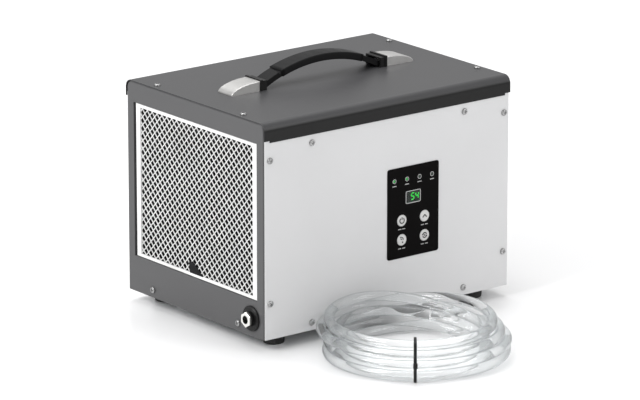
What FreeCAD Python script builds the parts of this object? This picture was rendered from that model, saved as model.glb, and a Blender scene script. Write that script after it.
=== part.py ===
import FreeCAD, Part
import math
import os
import re
import Sketcher
from FreeCAD import Placement, Rotation, Vector

# Portable condensate-pump dehumidifier with its coiled drain hose.
# Frame: +Z up, -Y is the control side, -X is the air intake end,
# origin on the floor under the middle of the casing.

os.makedirs("parts", exist_ok=True)
doc = FreeCAD.newDocument("Dehumidifier")
sheet = doc.addObject("Spreadsheet::Sheet", "Sizes")

driving_sizes = {
    # casing
    "case_length": 385,
    "case_depth": 284,
    "case_height": 272,
    "foot_height": 15,
    "wall": 1.2,
    "lap_gap": 0.2,
    "seat_gap": 0.05,
    "over_cut": 1,
    "sink": 0.5,
    "cover_bend": 10.4,
    "cover_lip": 24,
    "relief_height": 2.5,
    "relief_length": 8.5,
    "panel_inset": 1.5,
    "panel_drop": 6,
    "end_flange": 19,
    "end_bend": 1.6,
    "pan_flange": 22,
    # fasteners
    "thread": 4,
    "thread_gap": 0.1,
    "hole_gap": 0.6,
    "screw_head": 8,
    "head_height": 2.4,
    "screw_length": 8,
    "head_edge": 1.5,
    "recess_width": 1.1,
    "recess_depth": 1.3,
    "screw_inset": 9,
    "cover_screw_y": 88,
    "side_screw_low": 45.4,
    "side_screw_high": 225.4,
    "mid_screw_x": 119.5,
    "low_screw": 10,
    "high_screw": 237.4,
    "end_screw_y": 88,
    # intake opening and filter
    "opening_width": 252,
    "opening_height": 198.7,
    "opening_centre": 145.65,
    "sleeve_depth": 20,
    "filter_gap": 0.6,
    "filter_finger_gap": 3.6,
    "filter_recess": 1,
    "frame_depth": 12,
    "frame_lip": 1.2,
    "frame_edge": 0.6,
    "band_front": 9.4,
    "band_rear": 8.4,
    "band_top": 4.7,
    "band_bottom": 3.8,
    "rebate": 2,
    "mesh_thick": 1,
    "mesh_pitch": 10.15,
    "mesh_strand": 0.9,
    "pad_thick": 8.5,
    "pad_gap": 0.3,
    "ribbon_width": 28,
    "ribbon_height": 15,
    "ribbon_slope": 1.5,
    # drain outlet
    "drain_y": 115,
    "drain_height": 22.5,
    "drain_flange": 32,
    "drain_flange_thick": 3,
    "drain_neck": 19,
    "drain_reach": 10,
    "drain_hex": 17,
    "drain_hex_thick": 3,
    "drain_bore": 10.5,
    "drain_sleeve": 14,
    "drain_inside": 22,
    "flange_bevel": 1.2,
    "hex_bevel": 0.5,
    # handle
    "handle_length": 286,
    "handle_y": 3,
    "grip_cap_length": 43.5,
    "grip_cap_width": 29,
    "grip_cap_height": 12.5,
    "collar_length": 10,
    "collar_over": 1.5,
    "collar_rim": 3,
    "collar_step": 1,
    "collar_roof": 3,
    "cap_edge": 1,
    "arch_radius": 190,
    "arch_rise": 22.9,
    "strap_width": 22,
    "strap_thick": 7,
    "grip_width": 25,
    "grip_thick": 9.3,
    "grip_half_angle": 19,
    "grip_step": 0.8,
    "grip_edge": 1.2,
    "strap_half_angle": 32,
    "strap_hidden": 2,
    "strap_room": 0.8,
    "strap_clear": 0.3,
    "tab_width": 18,
    "tab_thick": 1.5,
    "tab_lift": 2.5,
    "tab_length": 35,
    "tab_travel": 4,
    "tab_room": 0.5,
    "grip_screw_inset": 12.5,
    "grip_screw_length": 10,
    "grip_hole_depth": 9,
    # feet
    "foot_inset_x": 36,
    "foot_inset_y": 30,
    "foot_width": 29,
    "foot_screw": 5,
    "foot_screw_head": 9.5,
    "foot_screw_length": 14,
    "foot_well": 6,
    "foot_well_gap": 0.65,
    "foot_taper": 1.5,
    # control panel
    "overlay_x": 38.15,
    "overlay_centre": 124.45,
    "overlay_width": 81,
    "overlay_height": 116,
    "overlay_thick": 0.8,
    "overlay_corner": 3,
    "led_pitch": 19.8,
    "led_height": 166.4,
    "led_width": 3.8,
    "led_dome": 1.6,
    "led_proud": 0.4,
    "panel_margin": 1,
    "window_width": 22,
    "window_height": 14.6,
    "window_centre": 142.6,
    "window_gap": 0.15,
    "window_proud": 0.1,
    "module_gap": 0.1,
    "module_inset_x": 1.5,
    "module_inset_z": 2,
    "button_width": 14.4,
    "button_gap": 0.3,
    "button_pitch_x": 36,
    "button_pitch_z": 24.8,
    "button_centre": 102.2,
    "button_proud": 0.6,
    "button_travel": 0.6,
    "key_edge": 0.5,
    "key_root": 1,
    "key_stem": 4,
    "key_flange": 1.2,
    "key_flange_gap": 0.4,
    "key_flange_thick": 1,
    "switch_width": 6,
    "switch_height": 3.5,
    "plunger_width": 3.4,
    "plunger_reach": 0.8,
    "board_depth": 14,
    "board_thick": 1.6,
    "board_inset_x": 3,
    "board_inset_z": 6,
    "standoff_width": 5,
    "standoff_inset": 3,
    # inside
    "bulkhead_x": 70,
    "fan_centre": 143,
    "fan_opening": 188,
    "fan_width": 180,
    "fan_hub": 52,
    "fan_depth": 30,
    "fan_shaft": 8,
    "shaft_gap": 0.05,
    "motor_width": 82,
    "motor_length": 60,
    "motor_gap": 22,
    "motor_end": 5,
    "motor_far_end": 7,
    "motor_edge": 4,
    "motor_room": 52,
    "arm_width": 12,
    "arm_thick": 4,
    "arm_start": 30,
    "arm_step": 6,
    "leg_width": 8,
    "shaft_reach": 12,
    "fan_rotor_width": 50,
    "fan_rotor_length": 40,
    "fan_rotor_gap": 2,
    "shaft_length": 84,
    "wheel_gap": 2,
    "blade_chord": 34,
    "blade_thick": 3,
    "blade_inset": 1,
    "tip_gap": 2,
    "blade_count": 5,
    "coil_width": 226,
    "coil_lift": 49,
    "coil_height": 188,
    "evaporator_x": 166,
    "evaporator_depth": 40,
    "condenser_x": 118,
    "condenser_depth": 30,
    "sheet_lip": 0.8,
    "sheet_thick": 1,
    "bend_radius": 11,
    "bend_pipe": 8,
    "tray_lift": 32,
    "tray_margin_x": 4,
    "tray_margin_y": 6,
    "tray_gap": 2,
    "tray_wall": 2,
    "spout_width": 12,
    "spout_y": 50,
    "spout_inset": 6,
    "compressor_x": 105,
    "compressor_y": 52,
    "compressor_width": 112,
    "compressor_height": 175,
    "compressor_lift": 21,
    "shell_dome": 22,
    "bearing_height": 50,
    "bearing_thick": 14,
    "ear_width": 26,
    "ear_thick": 3,
    "ear_height": 2,
    "mount_reach": 10,
    "mount_gap": 0.5,
    "mount_neck": 12,
    "mount_rim": 16,
    "mount_bore_gap": 0.4,
    "shell_wall": 3,
    "rotor_width": 50,
    "rotor_height": 60,
    "rotor_lift": 78,
    "air_gap": 0.5,
    "crank_width": 12,
    "crank_low": 22,
    "crank_over": 6,
    "lobe_offset": 4,
    "lobe_width": 32,
    "lobe_height": 16,
    "lobe_low": 28,
    "pump_x": 105,
    "pump_y": 88,
    "pump_length": 96,
    "pump_width": 62,
    "pump_height": 62,
    "pump_wall": 2,
    "pump_corner": 4,
    "pump_spread": 25,
    "pump_shaft": 3,
    "pump_can_width": 32,
    "pump_can_height": 40,
    "pump_can_wall": 3,
    "pump_drum_width": 22,
    "pump_drum_height": 24,
    "impeller_width": 18,
    "impeller_blade": 2,
    "impeller_height": 6,
    "impeller_gap": 3,
    "float_width": 24,
    "float_height": 18,
    "float_gap": 2,
    "post_gap": 0.6,
    "post_width": 4,
    "hose_width": 12.7,
    "exhaust_opening": 180,
    "guard_wire": 3,
    "guard_pitch": 12,
    "guard_overlap": 3,
    "tube_port_y": 20,
    "tube_port_z": 6,
    "tube_run": 60,
    "tube_step": 26,
    "tube_bend": 30,
    "supply_x": 8,
    "supply_gap": 6,
    "supply_lift": 80,
    "supply_width": 50,
    "supply_height": 100,
    "supply_post_inset": 4,
    "sensor_x": 7,
    "sensor_lift": 190,
    "sensor_width": 10,
    "sensor_depth": 7,
    "sensor_height": 26,
    "sensor_slots": 5,
    "sensor_slot": 2,
    "capacitor_x": 12,
    "capacitor_y": 88,
    "capacitor_width": 40,
    "capacitor_height": 75,
    "capacitor_edge": 3,
    "capacitor_tag": 6,
    "gland_y": 100,
    "gland_bore": 8.4,
    "gland_wall": 2.8,
    "gland_nut": 20,
    "gland_nut_thick": 5,
    "gland_inside": 10,
    "gland_tip": 15,
    "gland_base": 18,
    "pipe_y": 124,
    "suction_lift": 190,
    "gas_lift": 143,
    "liquid_lift": 96,
    "pipe_room": 2,
    "pipe_spread": 15,
    "pipe_shift": 18,
    "suction_loop": 22,
    "gas_loop": 40,
    "pipe_bend": 12,
    "drier_start": -56,
    "drier_width": 17,
    "drier_length": 56,
    "drier_edge": 5,
    "suction_pipe": 8,
    "gas_pipe": 6.4,
    "capillary": 2.4,
    "capillary_out": 18,
    "capillary_rise": 6,
    "capillary_bend": 5,
    "capillary_step": 4,
    # drain hose coil
    "hose_x": 56,
    "hose_gap": 6,
    "hose_coil": 224,
    "hose_bundle": 27,
    "hose_stack": 49,
    "tie_thick": 1.2,
    "tie_width": 3.4,
    "tie_turn": 232,
    "bundle_edge": 6,
    "lock_reach": 4,
    "lock_height": 6,
    "lock_low": 20,
}

# places worked out from the driving sizes
top_z = "(foot_height + case_height)"
end_x = "(case_length / 2)"
face_y = "(case_depth / 2 - wall - lap_gap)"
shell_y = "(case_depth / 2 - 2 * wall - 2 * lap_gap)"
pan_y = "(case_depth / 2 - 3 * wall - 3 * lap_gap)"
pan_x = "(case_length / 2 - wall - lap_gap)"
panel_x = "(case_length / 2 - panel_inset)"
panel_top = "(foot_height + case_height - cover_bend - panel_drop)"
panel_hole = "(thread + hole_gap)"
screw_x = "(case_length / 2 - screw_inset)"
opening_y = "(opening_width / 2)"
opening_z = "(foot_height + opening_centre)"
drain_z = "(foot_height + drain_height)"
frame_front = "(opening_width / 2 - filter_gap)"
frame_rear = "(opening_width / 2 - filter_finger_gap)"
frame_low = f"({opening_z} - opening_height / 2 + filter_gap)"
frame_high = f"({opening_z} + opening_height / 2 - filter_gap)"
frame_x = "(-case_length / 2 + filter_recess)"
cap_inner = "(handle_length / 2 - grip_cap_length)"
overlay_z = "(foot_height + overlay_centre)"
window_z = "(foot_height + window_centre)"
led_z = "(foot_height + led_height)"
button_z = "(foot_height + button_centre)"
board_y = f"({face_y} - board_depth)"
window_low = (f"(-{frame_front} + band_front)", f"({frame_low} + band_bottom)")
window_high = (f"({frame_rear} - band_rear)", f"({frame_high} - band_top)")
gland_hole = "(gland_bore + 2 * gland_wall + 2 * lap_gap)"
fan_z = "(foot_height + fan_centre)"
coil_z = "(foot_height + coil_lift)"
tray_z = "(foot_height + tray_lift)"
shell_z = "(foot_height + compressor_lift)"
rotor_z = f"({shell_z} + rotor_lift)"
suction_z = "(foot_height + suction_lift)"
gas_z = "(foot_height + gas_lift)"
liquid_z = "(foot_height + liquid_lift)"
tank_z = "(foot_height + wall + seat_gap)"
pump_top = f"({tank_z} + pump_height + seat_gap)"
hose_y = "(case_depth / 2 + hose_gap + hose_coil / 2)"
led_places = [f"(overlay_x + {number - 1.5} * led_pitch)" for number in range(4)]
button_places = {
    "button_power": ("(overlay_x - button_pitch_x / 2)", f"({button_z} + button_pitch_z / 2)"),
    "button_up": ("(overlay_x + button_pitch_x / 2)", f"({button_z} + button_pitch_z / 2)"),
    "button_drain": ("(overlay_x - button_pitch_x / 2)", f"({button_z} - button_pitch_z / 2)"),
    "button_mode": ("(overlay_x + button_pitch_x / 2)", f"({button_z} - button_pitch_z / 2)"),
}
mount_turns = [math.radians(30 + 120 * number) for number in range(3)]
mount_arm = "(compressor_width / 2 + mount_reach)"
mount_places = [(f"(compressor_x + {math.cos(turn):.6f} * {mount_arm})",
                 f"(compressor_y + {math.sin(turn):.6f} * {mount_arm})") for turn in mount_turns]


def fill_sheet():
    for row, (name, value) in enumerate(driving_sizes.items(), start=1):
        sheet.set(f"A{row}", name)
        sheet.set(f"B{row}", str(value))
        sheet.setAlias(f"B{row}", name)
    doc.recompute()


def size(name):
    return float(sheet.get(name))


def sized(text):
    """An expression with the sheet's name in front of each size."""
    def prefix(word):
        return "Sizes." + word.group() if word.group() in driving_sizes else word.group()
    return re.sub(r"[A-Za-z_]\w*", prefix, str(text))


def bind(item, **expressions):
    for name, text in expressions.items():
        item.setExpression(name, sized(text))


def place(item, at, rotation=None):
    """Puts an object at three expressions, turned by an optional rotation."""
    if rotation:
        item.Placement = Placement(Vector(), rotation)
    for axis, text in zip("xyz", at):
        item.setExpression(f".Placement.Base.{axis}", sized(text))
    return item


# rotations that lay a primitive's own Z axis along another one
along_x = Rotation(Vector(0, 1, 0), 90)
along_y = Rotation(Vector(1, 0, 0), -90)
against_y = Rotation(Vector(1, 0, 0), 90)
along_z_up = Rotation(Vector(1, 0, 0), 90)


# Cutting tools reach over_cut past the faces they cut, and fused pieces sink into each other.

# ---- Part workbench helpers ----

def box(name, low, extent):
    item = doc.addObject("Part::Box", name)
    bind(item, Length=extent[0], Width=extent[1], Height=extent[2])
    return place(item, low)


def rod(name, at, radius, length, rotation=None):
    item = doc.addObject("Part::Cylinder", name)
    bind(item, Radius=radius, Height=length)
    return place(item, at, rotation)


def cone(name, at, radius_low, radius_high, length, rotation=None):
    item = doc.addObject("Part::Cone", name)
    bind(item, Radius1=radius_low, Radius2=radius_high, Height=length)
    return place(item, at, rotation)


def ring(name, at, radius, wire, rotation=None):
    item = doc.addObject("Part::Torus", name)
    bind(item, Radius1=radius, Radius2=wire)
    return place(item, at, rotation)


def fuse(name, *parts):
    item = doc.addObject("Part::MultiFuse", name)
    item.Shapes = list(parts)
    return item


def cut(name, base, *tools):
    item = doc.addObject("Part::Cut", name)
    item.Base = base
    item.Tool = tools[0] if len(tools) == 1 else fuse(name + "_tools", *tools)
    return item


def group(name, *parts):
    item = doc.addObject("Part::Compound", name)
    item.Links = list(parts)
    return item


def mirror(source, normal):
    item = doc.addObject("Part::Mirroring", source.Name + "_mirror")
    item.Source = source
    item.Normal = normal
    return item


def both_sides(name, source, normal):
    return group(name, source, mirror(source, normal))


def four_corners(name, source):
    pair = both_sides(name + "_pair", source, Vector(1, 0, 0))
    return both_sides(name, pair, Vector(0, 1, 0))


def rounded(name, source, radius, chosen):
    """Rounds the edges of a shape for which chosen(edge) is true."""
    doc.recompute()
    item = doc.addObject("Part::Fillet", name)
    item.Base = source
    edges = [(n, radius, radius) for n, edge in enumerate(source.Shape.Edges, 1) if chosen(edge)]
    item.Edges = edges
    return item


# ---- PartDesign helpers ----

def new_body(name):
    body = doc.addObject("PartDesign::Body", name)
    body.Label = name
    return body


def sketch_on(body, role, offset="0"):
    sketch = body.newObject("Sketcher::SketchObject", body.Name + "_sketch")
    plane = next(item for item in body.Origin.OriginFeatures if item.Role == role)
    sketch.AttachmentSupport = [(plane, "")]
    sketch.MapMode = "FlatFace"
    sketch.setExpression(".AttachmentOffset.Base.z", sized(offset))
    return sketch


def dimension(sketch, kind, geometry, point, text):
    """Ties one coordinate of a point to an expression, measured from the origin."""
    number = sketch.addConstraint(Sketcher.Constraint(kind, -1, 1, geometry, point, 1.0))
    sketch.setExpression(f"Constraints[{number}]", sized(text))


def draw_polygon(sketch, points):
    """A closed outline through points given as pairs of expressions."""
    first = len(sketch.Geometry)
    count = len(points)
    turns = [2 * math.pi * n / count for n in range(count + 1)]
    rough = [Vector(math.cos(turn), math.sin(turn), 0) for turn in turns]
    for n in range(count):
        sketch.addGeometry(Part.LineSegment(rough[n], rough[n + 1]), False)
    for n in range(count):
        following = first + (n + 1) % count
        sketch.addConstraint(Sketcher.Constraint("Coincident", first + n, 2, following, 1))
    for n, (across, up) in enumerate(points):
        dimension(sketch, "DistanceX", first + n, 1, across)
        dimension(sketch, "DistanceY", first + n, 1, up)


def draw_box(sketch, low, high):
    (x0, y0), (x1, y1) = low, high
    draw_polygon(sketch, [(x0, y0), (x1, y0), (x1, y1), (x0, y1)])


def draw_circle(sketch, centre, diameter):
    number = sketch.addGeometry(Part.Circle(Vector(1, 1, 0), Vector(0, 0, 1), 1), False)
    dimension(sketch, "DistanceX", number, 3, centre[0])
    dimension(sketch, "DistanceY", number, 3, centre[1])
    width = sketch.addConstraint(Sketcher.Constraint("Diameter", number, 2.0))
    sketch.setExpression(f"Constraints[{width}]", sized(diameter))


def pad(body, sketch, length, reverse=False, symmetric=False):
    feature = body.newObject("PartDesign::Pad", body.Name + "_pad")
    feature.Profile = sketch
    feature.Reversed = reverse
    feature.SideType = "Symmetric" if symmetric else "One side"
    bind(feature, Length=length)
    doc.recompute()
    return feature


def pocket(body, sketch, length=None, reverse=False):
    """Cuts against the sketch's normal, or through everything both ways."""
    before = body.Shape.Volume
    feature = body.newObject("PartDesign::Pocket", body.Name + "_pocket")
    feature.Profile = sketch
    feature.Reversed = reverse
    if length is None:
        feature.Type = "ThroughAll"
        feature.SideType = "Symmetric"
    else:
        bind(feature, Length=length)
    doc.recompute()
    if body.Shape.Volume > before - 0.01:
        raise RuntimeError(f"a pocket of {body.Label} removes nothing")
    return feature


def dress(body, kind, base, chosen, value, faces=False):
    """Fillet, Chamfer or Thickness on the edges or faces that chosen() picks."""
    feature = body.newObject("PartDesign::" + kind, f"{body.Name}_{kind.lower()}")
    items = base.Shape.Faces if faces else base.Shape.Edges
    word = "Face" if faces else "Edge"
    picked = [f"{word}{n}" for n, item in enumerate(items, 1) if chosen(item)]
    feature.Base = (base, picked)
    prop = {"Fillet": "Radius", "Chamfer": "Size", "Thickness": "Value"}[kind]
    if kind == "Thickness":
        feature.Reversed = True
        feature.Join = "Intersection"
    feature.setExpression(prop, sized(value))
    doc.recompute()
    if feature.State != ["Up-to-date"]:
        raise RuntimeError(f"{feature.Name} of {body.Label} failed")
    return feature


def near(first, second, gap=0.01):
    return abs(first - second) < gap


def middle(item):
    return item.CenterOfMass


def runs_along(edge, axis):
    """True for a straight edge that is parallel to an axis vector."""
    ends = [vertex.Point for vertex in edge.Vertexes]
    if len(ends) < 2:
        return False
    step = ends[1] - ends[0]
    return near(abs(step.dot(axis)), edge.Length)


fill_sheet()
parts = []


def finished(item, name=None):
    """Gives a sub-part its label and lists it for writing."""
    if name:
        item.Label = name
    parts.append(item)
    return item


# ---- casing ----

def top_cover():
    """A bent sheet: the top with a lip down the front and the back."""
    body = new_body("top_cover")
    outline = sketch_on(body, "XY_Plane", f"{top_z} - cover_lip")
    draw_box(outline, (f"-{end_x}", "-case_depth / 2"), (end_x, "case_depth / 2"))
    block = pad(body, outline, "cover_lip")
    limits = block.Shape.BoundBox
    bends = dress(body, "Fillet", block, lambda edge: near(middle(edge).z, limits.ZMax)
                  and near(abs(middle(edge).y), limits.YMax), "cover_bend")
    dress(body, "Thickness", bends, lambda face: near(middle(face).z, limits.ZMin)
          or near(abs(middle(face).x), limits.XMax), "wall", faces=True)
    relief = sketch_on(body, "XZ_Plane")
    low = f"{top_z} - cover_lip"
    draw_box(relief, (f"-{end_x}", low), (f"-{end_x} + relief_length", f"{low} + relief_height"))
    draw_box(relief, (f"{end_x} - relief_length", low), (end_x, f"{low} + relief_height"))
    pocket(body, relief)
    holes = sketch_on(body, "XY_Plane", top_z)
    for side in ("-", ""):
        for depth in ("-", ""):
            draw_circle(holes, (f"{side}{screw_x}", f"{depth}cover_screw_y"), panel_hole)
        draw_circle(holes, (f"{side}({cap_inner} + grip_screw_inset)", "handle_y"), panel_hole)
    pocket(body, holes, "wall + over_cut")
    return finished(body)


def end_shell(name, side):
    """An end panel with flanges along its two sides and its top."""
    body = new_body(name)
    start = f"-{end_x}" if side < 0 else f"{end_x} - end_flange"
    outline = sketch_on(body, "YZ_Plane", start)
    draw_box(outline, (f"-{shell_y}", "foot_height"), (shell_y, f"{top_z} - wall - lap_gap"))
    block = pad(body, outline, "end_flange")
    limits = block.Shape.BoundBox
    outer = limits.XMin if side < 0 else limits.XMax
    inner = limits.XMax if side < 0 else limits.XMin
    corners = dress(body, "Fillet", block, lambda edge: runs_along(edge, Vector(1, 0, 0))
                    and near(middle(edge).z, limits.ZMax), "cover_bend - wall - lap_gap")
    bends = dress(body, "Fillet", corners, lambda edge: near(middle(edge).x, outer)
                  and not near(middle(edge).z, limits.ZMin), "end_bend")
    dress(body, "Thickness", bends, lambda face: near(middle(face).x, inner)
          or near(middle(face).z, limits.ZMin), "wall", faces=True)
    flange_holes(body, "" if side > 0 else "-")
    return body


def flange_holes(body, side):
    """Thread holes for the cover, front and rear screws, and the pan's."""
    rows = sketch_on(body, "XZ_Plane")
    draw_circle(rows, (f"{side}{screw_x}", "foot_height + side_screw_low"), "thread + thread_gap")
    draw_circle(rows, (f"{side}{screw_x}", "foot_height + side_screw_high"), "thread + thread_gap")
    pocket(body, rows)
    tops = sketch_on(body, "XY_Plane", top_z)
    draw_circle(tops, (f"{side}{screw_x}", "-cover_screw_y"), "thread + thread_gap")
    draw_circle(tops, (f"{side}{screw_x}", "cover_screw_y"), "thread + thread_gap")
    pocket(body, tops, "cover_bend")
    ends = sketch_on(body, "YZ_Plane")
    draw_circle(ends, ("-end_screw_y", "foot_height + low_screw"), panel_hole)
    draw_circle(ends, ("end_screw_y", "foot_height + low_screw"), panel_hole)
    pocket(body, ends)


def intake_end_panel():
    body = end_shell("intake_end_panel", -1)
    sleeve = sketch_on(body, "YZ_Plane", f"-{end_x} + wall")
    low, high = f"{opening_z} - opening_height / 2", f"{opening_z} + opening_height / 2"
    draw_box(sleeve, (f"-{opening_y} - wall", f"{low} - wall"), (f"{opening_y} + wall", f"{high} + wall"))
    draw_box(sleeve, (f"-{opening_y}", low), (opening_y, high))
    pad(body, sleeve, "sleeve_depth")
    opening = sketch_on(body, "YZ_Plane")
    draw_box(opening, (f"-{opening_y}", low), (opening_y, high))
    pocket(body, opening)
    outlet = sketch_on(body, "YZ_Plane")
    draw_circle(outlet, ("-drain_y", drain_z), "drain_neck + 2 * lap_gap")
    pocket(body, outlet)
    return finished(body)


def exhaust_end_panel():
    body = end_shell("exhaust_end_panel", 1)
    openings = sketch_on(body, "YZ_Plane")
    draw_circle(openings, ("0", fan_z), "exhaust_opening")
    draw_circle(openings, ("-gland_y", drain_z), gland_hole)
    pocket(body, openings)
    return finished(body)


def panel_blank(name, side):
    """A flat front or rear panel with its eight screw holes."""
    body = new_body(name)
    outline = sketch_on(body, "XZ_Plane", f"{face_y} - wall" if side < 0 else f"-{face_y}")
    draw_box(outline, (f"-{panel_x}", "foot_height"), (panel_x, panel_top))
    pad(body, outline, "wall")
    holes = sketch_on(body, "XZ_Plane")
    for across in (f"-{screw_x}", screw_x):
        draw_circle(holes, (across, "foot_height + side_screw_low"), panel_hole)
        draw_circle(holes, (across, "foot_height + side_screw_high"), panel_hole)
    for across in ("-mid_screw_x", "mid_screw_x"):
        draw_circle(holes, (across, "foot_height + low_screw"), panel_hole)
        draw_circle(holes, (across, "foot_height + high_screw"), panel_hole)
    pocket(body, holes)
    return body


def front_panel():
    body = panel_blank("front_panel", -1)
    openings = sketch_on(body, "XZ_Plane")
    half_width, half_height = "(window_width / 2)", "(window_height / 2)"
    draw_box(openings, (f"overlay_x - {half_width} - panel_margin",
                        f"{window_z} - {half_height} - panel_margin"),
             (f"overlay_x + {half_width} + panel_margin", f"{window_z} + {half_height} + panel_margin"))
    for across in led_places:
        draw_circle(openings, (across, led_z), "led_width + panel_margin")
    for across, up in button_places.values():
        draw_circle(openings, (across, up), "button_width + 2 * button_gap")
    pocket(body, openings)
    return finished(body)


def rear_panel():
    return finished(panel_blank("rear_panel", 1))


def base_pan():
    body = new_body("base_pan")
    outline = sketch_on(body, "XY_Plane", "foot_height")
    draw_box(outline, (f"-{pan_x}", f"-{pan_y}"), (pan_x, pan_y))
    block = pad(body, outline, "pan_flange")
    limits = block.Shape.BoundBox
    bends = dress(body, "Fillet", block, lambda edge: not near(middle(edge).z, limits.ZMax), "end_bend")
    dress(body, "Thickness", bends, lambda face: near(middle(face).z, limits.ZMax), "wall", faces=True)
    sides = sketch_on(body, "XZ_Plane")
    draw_circle(sides, ("-mid_screw_x", "foot_height + low_screw"), "thread + thread_gap")
    draw_circle(sides, ("mid_screw_x", "foot_height + low_screw"), "thread + thread_gap")
    pocket(body, sides)
    ends = sketch_on(body, "YZ_Plane")
    draw_circle(ends, ("-end_screw_y", "foot_height + low_screw"), "thread + thread_gap")
    draw_circle(ends, ("end_screw_y", "foot_height + low_screw"), "thread + thread_gap")
    pocket(body, ends)
    outlet = sketch_on(body, "YZ_Plane", f"-{end_x} - over_cut")
    draw_circle(outlet, ("-drain_y", drain_z), "drain_neck + 2 * lap_gap")
    pocket(body, outlet, "end_flange", reverse=True)
    gland = sketch_on(body, "YZ_Plane", f"{end_x} + over_cut")
    draw_circle(gland, ("-gland_y", drain_z), gland_hole)
    pocket(body, gland, "end_flange")
    floor = sketch_on(body, "XY_Plane", "foot_height")
    for across in (f"-({end_x} - foot_inset_x)", f"({end_x} - foot_inset_x)"):
        for back in ("-(case_depth / 2 - foot_inset_y)", "(case_depth / 2 - foot_inset_y)"):
            draw_circle(floor, (across, back), "foot_screw + thread_gap")
    for across, back in mount_places:
        draw_circle(floor, (across, back), "thread + thread_gap")
    pocket(body, floor, "wall + over_cut", reverse=True)
    return finished(body)


def fan_bulkhead():
    """The partition that carries the fan, with pipe and hose holes."""
    body = new_body("fan_bulkhead")
    outline = sketch_on(body, "YZ_Plane", "-bulkhead_x")
    draw_box(outline, (f"-{pan_y} + 2 * wall", "foot_height + wall + lap_gap"),
             (f"{pan_y} - 2 * wall", f"{top_z} - 2 * wall - 2 * lap_gap"))
    block = pad(body, outline, "wall")
    limits = block.Shape.BoundBox
    dress(body, "Fillet", block, lambda edge: runs_along(edge, Vector(1, 0, 0))
          and near(middle(edge).z, limits.ZMax), "cover_bend")
    holes = sketch_on(body, "YZ_Plane")
    draw_circle(holes, ("0", fan_z), "fan_opening")
    for back, up in (("-drain_y", drain_z), ("pipe_y", suction_z), ("pipe_y", gas_z), ("pipe_y", liquid_z)):
        draw_circle(holes, (back, up), "hose_width + 2 * pipe_room")
    pocket(body, holes)
    return finished(body)


def exhaust_guard():
    """Wire rings welded to four crossing bars, outside the exhaust opening."""
    wire = "guard_wire / 2"
    reach = "(exhaust_opening / 2 + guard_overlap)"
    count = int(size("exhaust_opening") / 2 / size("guard_pitch")) + 1
    pieces = [ring(f"guard_ring_{number}", (f"{end_x} + {wire}", "0", fan_z),
                   f"{reach} - guard_pitch * {number}", wire, along_x) for number in range(count)]
    for number in range(4):
        degrees = 22.5 + 45 * number
        across, up = math.sin(math.radians(degrees)), math.cos(math.radians(degrees))
        at = (f"{end_x} + 2 * guard_wire - 2 * lap_gap - {wire}", f"{across:.6f} * {reach}",
              f"{fan_z} - {up:.6f} * {reach}")
        pieces.append(rod(f"guard_bar_{number + 1}", at, wire, f"2 * {reach}",
                          Rotation(Vector(1, 0, 0), degrees)))
    return finished(fuse("exhaust_guard", *pieces), "exhaust_guard")


# ---- intake filter ----

def filter_frame():
    body = new_body("filter_frame")
    outline = sketch_on(body, "YZ_Plane", frame_x)
    draw_box(outline, (f"-{frame_front}", frame_low), (frame_rear, frame_high))
    block = pad(body, outline, "frame_depth")
    window = sketch_on(body, "YZ_Plane")
    draw_box(window, window_low, window_high)
    pocket(body, window)
    seat = sketch_on(body, "YZ_Plane", f"{frame_x} + frame_lip")
    draw_box(seat, (f"{window_low[0]} - rebate", f"{window_low[1]} - rebate"),
             (f"{window_high[0]} + rebate", f"{window_high[1]} + rebate"))
    last = pocket(body, seat, "frame_depth", reverse=True)
    front = block.Shape.BoundBox.XMin
    dress(body, "Fillet", last, lambda edge: near(middle(edge).x, front), "frame_edge")
    return finished(body)


def filter_mesh():
    """A thin net of crossed diagonal strands, cut in one go from a plate."""
    low_y, low_z = (-size("opening_width") / 2 + size("filter_gap") + size("band_front"),
                    opening_middle() - size("opening_height") / 2 + size("filter_gap") + size("band_bottom"))
    high_y = size("opening_width") / 2 - size("filter_finger_gap") - size("band_rear")
    high_z = opening_middle() + size("opening_height") / 2 - size("filter_gap") - size("band_top")
    near_x = -size("case_length") / 2 + size("filter_recess") + size("frame_lip") + size("lap_gap") / 2
    edge = size("rebate") - size("lap_gap")
    outline = flat_loop(near_x, [(low_y - edge, low_z - edge), (high_y + edge, low_z - edge),
                                 (high_y + edge, high_z + edge), (low_y - edge, high_z + edge)])
    pitch = size("mesh_pitch")
    reach = pitch / 2 - size("mesh_strand") / math.sqrt(2)
    middle_y = (low_y + high_y) / 2
    rows = range(int((high_z - low_z) / pitch) + 2)
    columns = range(int((high_y - low_y) / pitch) + 2)
    # the lattice starts with half holes along the bottom and is centred across
    centres = [(middle_y + (column - len(columns) // 2 + shift) * pitch, low_z + (row + shift) * pitch)
               for shift in (0, 0.5) for row in rows for column in columns]
    holes = []
    for y, z in centres:
        corners = [(y - reach, z), (y, z - reach), (y + reach, z), (y, z + reach)]
        kept = clip(corners, low_y, low_z, high_y, high_z)
        if len(kept) > 2:
            holes.append(flat_loop(near_x, kept))
    face = Part.makeFace([outline] + holes, "Part::FaceMakerBullseye")
    item = doc.addObject("Part::Feature", "filter_mesh")
    item.Shape = face.extrude(Vector(size("mesh_thick"), 0, 0))
    return finished(item)


def opening_middle():
    return size("foot_height") + size("opening_centre")


def flat_loop(x, corners):
    points = [Vector(x, y, z) for y, z in corners]
    return Part.makePolygon(points + points[:1])


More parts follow.
